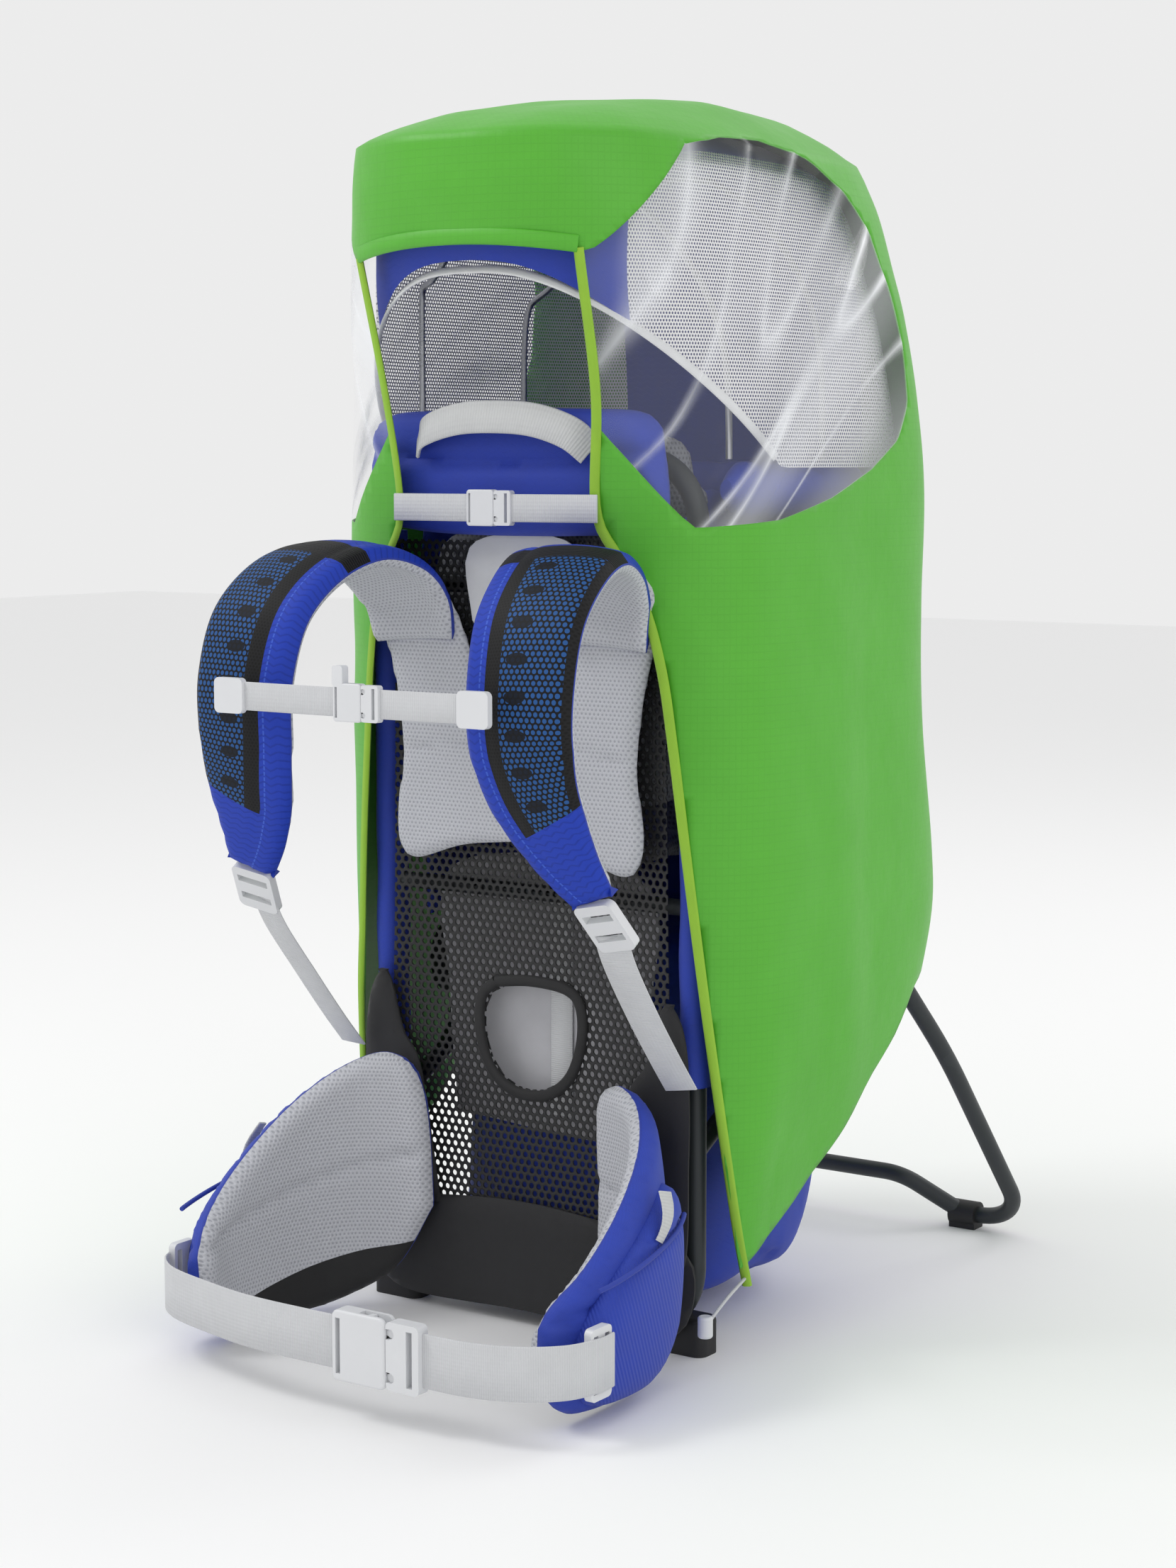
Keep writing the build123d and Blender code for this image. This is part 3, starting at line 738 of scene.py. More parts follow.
def finish_object(
    name: str, bm: bmesh.types.BMesh, materials: Sequence[str], sharp: float = 40.0
) -> bpy.types.Object:
    """Turns a BMesh into a smooth-shaded object.

    Args:
        name: the object's name.
        bm: the mesh, freed here.
        materials: names of its finishes, in index order.
        sharp: the angle in degrees above which an edge stays crisp.

    Returns:
        The linked object.
    """
    mesh = bpy.data.meshes.new(name)
    bmesh.ops.translate(bm, vec=SHIFT, verts=bm.verts)
    bmesh.ops.recalc_face_normals(bm, faces=bm.faces)
    bm.to_mesh(mesh)
    bm.free()
    mesh.polygons.foreach_set("use_smooth", [True] * len(mesh.polygons))
    mesh.set_sharp_from_angle(angle=math.radians(sharp))
    made = bpy.data.objects.new(name, mesh)
    bpy.context.scene.collection.objects.link(made)
    for material in materials:
        mesh.materials.append(FINISH[material])
    return made


def join_body(piece: bpy.types.Object, body: str, slot: str, *nodes: str) -> bpy.types.Object:
    """Rides a piece on its body and hides the plain solids it stands for.

    Args:
        piece: the piece.
        body: the body it moves with.
        slot: not used.
        nodes: the plain solids it stands for.

    Returns:
        The same piece.
    """
    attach(piece, body)
    if nodes:
        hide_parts(*nodes)
    LOG.info("%s rides on %s", piece.name, body)
    return piece


def blend_tape(
    tape: bpy.types.Object
) -> None:
    """Bakes a tape's placement into its mesh; the tape rides on no body."""
    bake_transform(tape)


def sweep(
    name: str,
    spine: Sequence[Vector],
    sides: Sequence[Vector],
    ups: Sequence[Vector],
    outline: Sequence[Flat] | Callable[[float], Sequence[Flat]],
    material: str,
    sharp: float = 50.0,
) -> bpy.types.Object:
    """Carries a closed section along a spine.

    Args:
        name: the object's name.
        spine: the stations.
        sides: the section's first direction at each station.
        ups: the section's second direction at each station.
        outline: the section's points, or a function of the share of the way that gives them.
        material: the finish.
        sharp: the angle above which an edge stays crisp.

    Returns:
        The object, with its flat map.
    """
    bm = bmesh.new()
    lay = bm.loops.layers.uv.new(LAY)
    rings, run = [], [0.0]
    for i, at in enumerate(spine):
        if i:
            run.append(run[-1] + (at - spine[i - 1]).length)
        ring = outline(i / (len(spine) - 1)) if callable(outline) else outline
        rings.append([bm.verts.new(at + sides[i] * a + ups[i] * b) for a, b in ring])
    section = outline(0.5) if callable(outline) else outline
    around = [0.0]
    for k in range(1, len(section) + 1):
        a, b = section[k - 1], section[k % len(section)]
        around.append(around[-1] + math.hypot(a[0] - b[0], a[1] - b[1]))
    for i in range(len(rings) - 1):
        for k in range(len(section)):
            n = (k + 1) % len(section)
            face = bm.faces.new((rings[i][k], rings[i][n], rings[i + 1][n], rings[i + 1][k]))
            flat = ((k, i), (k + 1, i), (k + 1, i + 1), (k, i + 1))
            for loop, (ku, kv) in zip(face.loops, flat):
                loop[lay].uv = (around[ku], run[kv])
    for ring in (rings[0], rings[-1]):
        face = bm.faces.new(ring)
        for loop in face.loops:
            loop[lay].uv = (0.0, 0.0)
    return finish_object(name, bm, [material], sharp)


def strip_section(width: float, thick: float) -> list[Flat]:
    """Section of a flat tape with softened edges."""
    w, t, r = width / 2, thick / 2, min(thick * 0.45, width * 0.2)
    return [
        (-w + r, -t), (w - r, -t), (w, -t + r), (w, t - r), (w - r, t), (-w + r, t), (-w, t - r),
        (-w, -t + r)
    ]


def round_section(radius: float, count: int = 14, squash: float = 1.0) -> list[Flat]:
    """Section of a cord or roll."""
    turn = [2 * math.pi * k / count for k in range(count)]
    return [(radius * math.cos(a), radius * squash * math.sin(a)) for a in turn]


def directions(spine: Sequence[Vector], across: Vector) -> tuple[list[Vector], list[Vector]]:
    """Side and outward directions of a strip whose width lies near one direction.

    Args:
        spine: the stations.
        across: the direction that the width lies near.

    Returns:
        The sides and the outward directions.
    """
    sides, outs = [], []
    for i in range(len(spine)):
        along = (spine[min(i + 1, len(spine) - 1)] - spine[max(i - 1, 0)]).normalized()
        side = (across - along * across.dot(along)).normalized()
        sides.append(side)
        outs.append(along.cross(side).normalized())
    return sides, outs


@dataclass
class Pad:
    """A sewn or foam-filled pad: a flat outline, filled, then laid into place."""

    name: str
    outline: np.ndarray
    thick: float
    place: Place
    materials: Sequence[str]
    cell: float = 0.005
    edge: float = 0.012
    rim: float = 0.0015
    quilt: Callable[[float, float], float] | None = None
    pick: Callable[[float, float, int, float], int] | None = None
    gaps: Callable[[float, float], Flat] | None = None
    holes: Sequence[np.ndarray] = ()
    lines: Sequence[Callable[[float, float], float]] = ()

    def build(self) -> bpy.types.Object:
        """Makes the pad: two faces that meet in a rim.

        Returns:
            The object, with its flat map.
        """
        low, high = self.outline.min(0) - self.cell, self.outline.max(0) + self.cell
        nu = max(2, int((high[0] - low[0]) / self.cell))
        nv = max(2, int((high[1] - low[1]) / self.cell))
        bm = bmesh.new()
        grid = [
            [
                bm.verts.new(
                    (low[0] + (high[0] - low[0]) * i / nu, low[1] + (high[1] - low[1]) * j / nv, 0)
                )
                for i in range(nu + 1)
            ]
            for j in range(nv + 1)
        ]
        for j in range(nv):
            for i in range(nu):
                bm.faces.new((grid[j][i], grid[j][i + 1], grid[j + 1][i + 1], grid[j + 1][i]))
        for edge_line in (self.outline, *self.holes):
            table = self._table(bm, edge_line)
            cut_along(bm, lambda co, t=table: t[(round(co.x, 7), round(co.y, 7))])
        for line in self.lines:
            cut_along(bm, lambda co, f=line: f(co.x, co.y))
        centres = np.array([f.calc_center_median()[:2] for f in bm.faces])
        keep = outline_distance(self.outline, centres) > 0
        for hole in self.holes:
            keep &= outline_distance(hole, centres) < 0
        bm.faces.ensure_lookup_table()
        gone = [f for f, k in zip(bm.faces, keep) if not k]
        bmesh.ops.delete(bm, geom=gone, context="FACES")
        flat = np.array([v.co[:2] for v in bm.verts])
        depth = np.abs(outline_distance(self.outline, flat))
        for hole in self.holes:
            depth = np.minimum(depth, np.abs(outline_distance(hole, flat)))
        full = self._thickness(flat, depth)
        bm.verts.index_update()
        out = bmesh.new()
        lay = out.loops.layers.uv.new(LAY)
        rim = out.loops.layers.uv.new(RIM) if self.gaps else None
        tops = [out.verts.new(self.place(*flat[v.index], full[v.index])) for v in bm.verts]
        unders = [out.verts.new(self.place(*flat[v.index], -full[v.index])) for v in bm.verts]
        for face in bm.faces:
            ids = [v.index for v in face.verts]
            mid = flat[ids].mean(0)
            inner = float(depth[ids].mean())
            for sheet, order, facing in ((tops, ids, 1), (unders, ids[::-1], -1)):
                made = out.faces.new([sheet[k] for k in order])
                if self.pick:
                    made.material_index = self.pick(mid[0], mid[1], facing, inner)
                for loop, k in zip(made.loops, order):
                    loop[lay].uv = flat[k]
                    if rim:
                        loop[rim].uv = self.gaps(*flat[k])
        for edge in bm.edges:
            if len(edge.link_faces) == 1:
                a, b = (v.index for v in edge.verts)
                made = out.faces.new((tops[a], tops[b], unders[b], unders[a]))
                if self.pick:
                    mid = (flat[a] + flat[b]) / 2
                    made.material_index = self.pick(mid[0], mid[1], 0, 0.0)
                for loop, k in zip(made.loops, (a, b, b, a)):
                    loop[lay].uv = flat[k]
        bm.free()
        return finish_object(self.name, out, self.materials, 60)

    def _table(self, bm: bmesh.types.BMesh, outline: np.ndarray) -> dict[tuple[float, float], float]:
        """Signed distances of every vertex, looked up by place.

        Args:
            bm: the flat mesh.
            outline: the outline to measure from.

        Returns:
            The distance at every vertex, by its place.
        """
        flat = np.array([v.co[:2] for v in bm.verts])
        far = outline_distance(outline, flat)
        return {(round(v.co.x, 7), round(v.co.y, 7)): float(d) for v, d in zip(bm.verts, far)}

    def _thickness(self, flat: np.ndarray, depth: np.ndarray) -> np.ndarray:
        """Half thickness at every vertex: full inside, rounded off towards the rim.

        Args:
            flat: the flat places.
            depth: how far each lies inside the outline.

        Returns:
            The half thickness at each place.
        """
        share = np.clip(depth / self.edge, 0, 1)
        half = self.rim / 2 + (self.thick - self.rim) / 2 * np.sqrt(1 - (1 - share) ** 2)
        if self.quilt:
            half = half * np.array([self.quilt(u, v) for u, v in flat])
        return half


def inflate(piece: bpy.types.Object, voxel: float, cap: float, pressure: float = 4.0) -> bpy.types.Object:
    """Fills a closed piece by cloth simulation and applies the result.

    Args:
        piece: the closed piece.
        voxel: the remesh size.
        cap: the furthest that a point may move.
        pressure: the filling pressure.

    Returns:
        The same piece, swollen and smoothed.
    """
    scene = bpy.context.scene
    bpy.context.view_layer.objects.active = piece
    remesh = piece.modifiers.new("even", "REMESH")
    remesh.mode = "VOXEL"
    remesh.voxel_size = voxel
    with bpy.context.temp_override(object=piece, active_object=piece, selected_objects=[piece]):
        bpy.ops.object.modifier_apply(modifier="even")
    before = np.array([v.co for v in piece.data.vertices])
    cloth = piece.modifiers.new("fill", "CLOTH")
    cloth.settings.use_pressure = True
    cloth.settings.uniform_pressure_force = pressure
    cloth.settings.effector_weights.gravity = 0
    cloth.settings.quality = 4
    cloth.point_cache.frame_end = 20
    for step in range(1, 21):
        scene.frame_set(step)
    swollen = piece.evaluated_get(bpy.context.evaluated_depsgraph_get())
    after = np.array([v.co for v in swollen.data.vertices])
    piece.modifiers.remove(cloth)
    scene.frame_set(1)
    move = after - before
    far = np.linalg.norm(move, axis=1, keepdims=True)
    move *= np.minimum(1.0, cap / np.maximum(far, 1e-9))
    piece.data.vertices.foreach_set("co", (before + move).ravel())
    piece.data.polygons.foreach_set("use_smooth", [True] * len(piece.data.polygons))
    piece.data.update()
    return piece


# ---- hood-shaped surfaces: rain cover and sunshade ----------------------------
@dataclass
class HoodForm:
    """The swept shape that the rain cover and the sunshade share.

    Each row is a level: height, half width, front, rear and how square the front corners are.
    """

    rows: Sequence[Sequence[float]] = (
        (0.030, 0.171, -0.090, 0.125, 3.8), (0.100, 0.180, -0.091, 0.145, 3.8),
        (0.165, 0.189, -0.092, 0.178, 3.8), (0.215, 0.197, -0.092, 0.228, 3.8),
        (0.290, 0.201, -0.094, 0.260, 3.8), (0.350, 0.201, -0.096, 0.261, 3.8),
        (0.450, 0.198, -0.098, 0.246, 3.8), (0.540, 0.195, -0.103, 0.248, 3.7),
        (0.630, 0.193, -0.112, 0.256, 3.5), (0.700, 0.187, -0.124, 0.254, 3.1),
        (0.760, 0.177, -0.146, 0.252, 2.8), (0.800, 0.167, -0.163, 0.249, 2.6),
        (0.840, 0.158, -0.173, 0.241, 2.5), (0.868, 0.150, -0.175, 0.228, 2.5),
    )
    crown: Sequence[Sequence[float]] = (
        (0.8795, 0.146, -0.1755, 0.221, 2.5), (0.8835, 0.139, -0.167, 0.215, 2.5),
        (0.891, 0.130, -0.150, 0.207, 2.5), (0.900, 0.115, -0.122, 0.196, 2.6),
        (0.911, 0.094, -0.066, 0.177, 2.7), (0.918, 0.072, -0.012, 0.157, 2.7),
    )
    rear_power: float = 4.6

    def __post_init__(self) -> None:
        """Smooths the rows into a fine table and leaves a crisp fold under the crown."""
        lower = [tuple(q) for q in smooth_line(self.rows, 300)]
        self.table = np.array([*lower, *self.crown])
        self.top = float(self.table[-1, 0])

    def level(self, z: float, inset: float = 0.0) -> tuple[float, float, float, float, float]:
        """The section at a height.

        Args:
            z: height.
            inset: how far inside the surface.

        Returns:
            Half width, middle, half depth, front power and rear power.
        """
        half, front, rear, power = (
            float(np.interp(z, self.table[:, 0], self.table[:, k]))
            for k in (1, 2, 3, 4)
        )
        half, front, rear = half - inset, front + inset, rear - inset
        return half, (front + rear) / 2, (rear - front) / 2, power, self.rear_power

    def front_at(self, x: float, z: float, out: float = 0.0012) -> Vector:
        """Point on the front face at a width and a height.

        Args:
            x: place across.
            z: height.
            out: how far in front of the surface.

        Returns:
            The point.
        """
        half, mid, deep, power, _ = self.level(z)
        share = min(0.999, abs(x) / half)
        return Vector((x, mid - deep * (1 - share**power) ** (1 / power) - out, z))

    def mesh(self, inset: float, low: float, cells: tuple[int, int]) -> bmesh.types.BMesh:
        """The whole closed-topped surface as quads.

        Args:
            inset: how far inside the cover.
            low: the lowest level.
            cells: how many cells around and up.

        Returns:
            The mesh.
        """
        around, rows = cells
        bm = bmesh.new()
        top = self.top - inset
        rings = []
        for k in range(rows + 1):
            share = k / rows
            z = low + (top - low) * (1 - (1 - share) ** 1.25)
            lifted = z + inset * min(1.0, max(0.0, (z - 0.6) / 0.3))
            half, mid, deep, front_power, rear_power = self.level(lifted, inset)
            ring = []
            for j in range(around):
                turn = 2 * math.pi * j / around - math.pi / 2
                c, s = math.cos(turn), math.sin(turn)
                power = front_power if s < 0 else rear_power
                scale = (abs(c) ** power + abs(s) ** power) ** (-1 / power)
                ring.append(bm.verts.new((half * c * scale, mid + deep * s * scale, z)))
            rings.append(ring)
        for a, b in zip(rings, rings[1:]):
            for k in range(around):
                n = (k + 1) % around
                bm.faces.new((a[k], a[n], b[n], b[k]))
        last = rings[-1]
        centre = sum((v.co for v in last), Vector()) / len(last)
        previous = last
        for share, rise in ((0.75, 0.0012), (0.5, 0.0021), (0.25, 0.0027)):
            ring = [bm.verts.new(centre.lerp(v.co, share) + Vector((0, 0, rise))) for v in last]
            for k in range(around):
                n = (k + 1) % around
                bm.faces.new((previous[k], previous[n], ring[n], ring[k]))
            previous = ring
        peak = bm.verts.new(centre + Vector((0, 0, 0.003)))
        for k in range(around):
            bm.faces.new((previous[k], previous[(k + 1) % around], peak))
        return bm


def bumpy(place: Vector, scale: float, seed: float) -> float:
    """Smooth repeatable noise from about -1 to 1, made of crossed waves.

    Args:
        place: where to read it.
        scale: how fast it varies.
        seed: which pattern.

    Returns:
        A value from about -1 to 1.
    """
    x, y, z = place * scale
    return (
        math.sin(x * 1.3 + seed + 1.7 * math.sin(z * 0.9 + seed))
        + math.sin(y * 1.1 - seed * 1.3 + 1.3 * math.sin(x * 0.7))
        + math.sin(z * 0.8 + seed * 0.7 + 1.9 * math.sin(y * 0.6 + x * 0.5))
    ) / 3


@dataclass
class RainCover:
    """Lime rain cover with a visor, clear side windows, bound front edges and a neck strap."""

    form: HoodForm = field(default_factory=HoodForm)
    open_x: Sequence[Flat] = (
        (0.03, 0.171), (0.107, 0.171), (0.228, 0.162), (0.297, 0.155), (0.376, 0.147), (0.45, 0.139),
        (0.505, 0.132), (0.55, 0.121), (0.585, 0.103), (0.619, 0.088), (0.70, 0.094), (0.799, 0.097),
    )
    hem: Sequence[Flat] = (
        (-0.30, 0.047), (-0.096, 0.047), (-0.043, 0.064), (0.02, 0.103), (0.078, 0.148), (0.15, 0.212),
        (0.178, 0.244), (0.215, 0.258), (0.30, 0.262),
    )
    window: Sequence[Flat] = (
        (-0.30, 0.797), (-0.138, 0.797), (-0.105, 0.836), (-0.072, 0.873), (-0.030, 0.882), (0.030, 0.885),
        (0.085, 0.874), (0.128, 0.854), (0.158, 0.826), (0.174, 0.785), (0.181, 0.740), (0.175, 0.697),
        (0.150, 0.669), (0.105, 0.646), (0.045, 0.626), (-0.020, 0.611), (-0.080, 0.606), (-0.30, 0.606),
    )

    def front_half(self, z: float) -> float:
        """Half width of the front opening at a height."""
        heights, halves = zip(*self.open_x)
        return float(np.interp(z, heights, halves))

    def hem_height(self, y: float) -> float:
        """Height of the hem at a depth."""
        depths, heights = zip(*self.hem)
        return float(np.interp(y, depths, heights))

    def opening_side(self, co: Vector) -> float:
        """Positive where there is fabric, negative in the front opening.

        Args:
            co: a place on the cover.

        Returns:
            The distance from the opening's edge.
        """
        if co.y > -0.02:
            return 0.02
        across = abs(co.x) - self.front_half(co.z)
        return max(across, co.z - (0.806 - 0.0075 * (co.x / 0.097) ** 2))

    def window_side(self, co: Vector) -> float:
        """Positive in a clear window.

        Args:
            co: a place on the cover.

        Returns:
            The distance from the window's edge.
        """
        distance = float(outline_distance(self._window_outline, np.array([[co.y, co.z]]))[0])
        if co.y < -0.06:
            # the fabric patch that rises beside each neck strap end
            patch = co.z - (0.677 - (abs(co.x) - 0.092) * 1.155)
            distance = min(distance, patch)
        return distance

    def shape(self) -> bmesh.types.BMesh:
        """The cover's fabric before it is cut: the form with long soft folds.

        Returns:
            The mesh.
        """
        bm = self.form.mesh(0.0, 0.03, (150, 120))
        bm.normal_update()
        for v in bm.verts:
            drop = min(1.0, max(0.0, (0.62 - v.co.z) / 0.4))
            long_fold = bumpy(Vector((v.co.x * 1.6, v.co.y * 1.6, v.co.z * 0.35)), 26, 0.6)
            small = bumpy(v.co, 55, 2.1)
            calm = min(1.0, max(0.0, (0.17 - v.co.y) / 0.10))
            swell = max(-0.0012, 0.0052 * long_fold * (0.2 + 0.8 * drop) + 0.0012 * small)
            v.co += v.normal * swell * (0.15 + 0.85 * calm)
        return bm

    def build(self) -> None:
        """Makes the fabric, the windows, the bindings and the neck strap."""
        self._window_outline = np.array(self.window)
        bm = self.shape()
        cut_along(bm, lambda co: co.z - self.hem_height(co.y))
        cut_along(bm, self.opening_side)
        drop_faces(bm, lambda at: self.opening_side(at) < 0 or at.z < self.hem_height(at.y))
        cut_along(bm, self.window_side)
        middles = {f: f.calc_center_median() for f in bm.faces}
        panes = [f for f, at in middles.items() if self.window_side(at) > 0 and abs(at.x) > 0.05]
        clear = {1: bmesh.new(), -1: bmesh.new()}
        remap: dict[bmesh.types.BMVert, bmesh.types.BMVert] = {}
        for f in panes:
            side = 1 if middles[f].x > 0 else -1
            for v in f.verts:
                if v not in remap:
                    remap[v] = clear[side].verts.new(v.co)
            clear[side].faces.new([remap[v] for v in f.verts])
        bmesh.ops.delete(bm, geom=panes, context="FACES")
        fabric = finish_object("cover_fabric", bm, ["lime ripstop"], 70)
        cloth = self.area(fabric)
        self.thicken(fabric, 0.0012)
        join_body(fabric, "rain_cover", "cover_fabric", "rain_cover_shell")
        cloth / 1.30 * 1.15
        for side, label in ((1, "right"), (-1, "left")):
            film = finish_object(f"cover_window_{label}", clear[side], ["clear film"], 70)
            pane = self.area(film)
            join_body(film, "rain_cover", "clear_film", *(["rain_windows"] if side > 0 else []))
            pane / 0.34 * 1.2
            LOG.info("window %s m2", pane)
        self.bind()
        self.seams()
        self.neck_strap()
        self.drawcord()

    def drawcord(self) -> None:
        """Hangs the hem's toggle on a short cord from the cover's front corner."""
        low, high = (Vector(corner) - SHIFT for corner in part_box("hem_toggle"))
        toggle = (low + high) / 2
        corner = self.edge_point(0.056, 1)
        middle = (toggle + corner) / 2 + Vector((0.002, -0.002, 0.003))
        spine = smooth_line([tuple(corner), tuple(middle), tuple(toggle)], 14)
        sides, outs = directions(spine, Vector((1, 0, 0)))
        cord = sweep("hem_cord", spine, sides, outs, round_section(0.0013, 8), "white webbing")
        join_body(cord, "rain_cover", "webbing")

    def thicken(self, piece: bpy.types.Object, thick: float) -> None:
        """Gives a sheet its thickness inwards.

        Args:
            piece: the sheet.
            thick: its thickness.
        """
        solid = piece.modifiers.new("thick", "SOLIDIFY")
        solid.thickness = thick
        solid.offset = -1
        with bpy.context.temp_override(object=piece, active_object=piece, selected_objects=[piece]):
            bpy.ops.object.modifier_apply(modifier="thick")

    def area(self, piece: bpy.types.Object) -> float:
        """Surface area of a piece."""
        return sum(p.area for p in piece.data.polygons)

    def edge_point(self, z: float, side: int) -> Vector:
        """Point on a front edge at a height."""
        return self.form.front_at(side * self.front_half(z), z)

    def bind(self) -> None:
        """Sews the yellow-green binding on both front edges."""
        for side, label in ((1, "right"), (-1, "left")):
            heights = [z for z, _ in self.open_x][1:]
            spine = smooth_line([tuple(self.edge_point(z, side)) for z in (0.05, *heights)], 90)
            sides, outs = directions(spine, Vector((side, 0.35, 0)))
            edge = sweep(
                f"front_binding_{label}", spine, sides, outs, strip_section(0.0075, 0.0034),
                "lime binding"
            )
            join_body(edge, "rain_cover", "cover_binding", *(["cover_binding"] if side > 0 else []))

    def seams(self) -> None:
        """Adds the folded and stitched hem of the visor."""
        visor = []
        for x in np.linspace(-0.097, 0.097, 31):
            z = 0.809 - 0.0075 * (x / 0.097) ** 2
            visor.append(self.form.front_at(float(x), z))
        sides, outs = directions(visor, Vector((0, 0, 1)))
        fold = sweep("visor_hem", visor, sides, outs, strip_section(0.012, 0.003), "lime ripstop")
        join_body(fold, "rain_cover", "cover_fabric")

    def neck_strap(self) -> None:
        """Lays the strap that closes the cover under the wearer's neck."""
        z, y = 0.619, -0.1178
        for label, near, far, body in (
            ("left", -0.012, -0.089, "rain_cover"), ("right", 0.019, 0.093, "neck_plug")
        ):
            spine = [
                Vector((near + (far - near) * k / 12, y + 0.0035 * (k / 12) ** 2, z))
                for k in range(13)
            ]
            sides, outs = directions(spine, Vector((0, 0, 1)))
            tape = sweep(
                f"neck_tape_{label}", spine, sides, outs, strip_section(0.020, 0.0015),
                "white webbing"
            )
            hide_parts(f"neck_webbing_{label}")
            if label == "right":
                blend_tape(tape)
            else:
                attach(tape, body)


@dataclass
class Sunshade:
    """Fold-out sunshade: blue crown and white net sides with a taped slanting edge; its arch wires are the
    imported ones.
    """

    form: HoodForm = field(default_factory=HoodForm)
    inset: float = 0.017
    crown_half: float = 0.112

    def edge_side(self, co: Vector) -> float:
        """Positive behind the slanting front edge."""
        slant = (co.z - 0.797) + (co.y + 0.151) * 0.956
        return min(slant, co.z - 0.648)

    def build(self) -> None:
        """Makes crown, sides and tape."""
        bm = self.form.mesh(self.inset, 0.60, (132, 60))
        cut_along(bm, self.edge_side)
        drop_faces(bm, lambda at: self.edge_side(at) < 0)
        cut_along(bm, lambda co: abs(co.x) - self.crown_half)
        crown = bm.copy()
        drop_faces(crown, lambda at: abs(at.x) > self.crown_half)
        drop_faces(bm, lambda at: abs(at.x) <= self.crown_half)
        top = finish_object("shade_crown", crown, ["blue cloth"], 70)
        join_body(top, "frame", "blue_fabric", "sunshade_top")
        area = sum(p.area for p in top.data.polygons)
        area / 0.24
        net = finish_object("shade_net_sides", bm, ["white shade mesh"], 70)
        join_body(net, "frame", "white_mesh", "sunshade_sides")
        area = sum(p.area for p in net.data.polygons)
        area / 0.38
        self.tape()

    def front_edge(self, turn: float) -> Vector:
        """Point of the slanting front edge in a direction round the section.

        Args:
            turn: the direction, in radians.

        Returns:
            The point.
        """
        c, s = math.cos(turn), math.sin(turn)
        low, high = 0.60, 0.90
        for _ in range(24):
            z = (low + high) / 2
            half, mid, deep, front_power, rear_power = self.form.level(z, self.inset)
            power = front_power if s < 0 else rear_power
            scale = (abs(c) ** power + abs(s) ** power) ** (-1 / power)
            at = Vector((half * c * scale, mid + deep * s * scale, z))
            low, high = (low, z) if self.edge_side(at) > 0 else (z, high)
        return at

    def tape(self) -> None:
        """Tapes the whole slanting front edge with one arch."""
        turns = np.linspace(-math.pi / 2 - 1.5, -math.pi / 2 + 1.5, 140)
        line = [q for q in (self.front_edge(float(t)) for t in turns) if q.z > 0.6495]
        spine = smooth_line([tuple(q + Vector((q.x, 0, 0)).normalized() * 0.0012) for q in line[::4]], 120)
        sides, outs = directions(spine, Vector((0, 0.7, 0.7)))
        edge = sweep("shade_tape", spine, sides, outs, strip_section(0.008, 0.0024), "white tape")
        join_body(edge, "frame", "white_mesh")


# ---- pack ---------------------------------------------------------------------
def upright(y: float) -> Place:
    """Lays a pad in an upright plane that faces the wearer."""
    return lambda u, v, off: Vector((u, y - off, v))


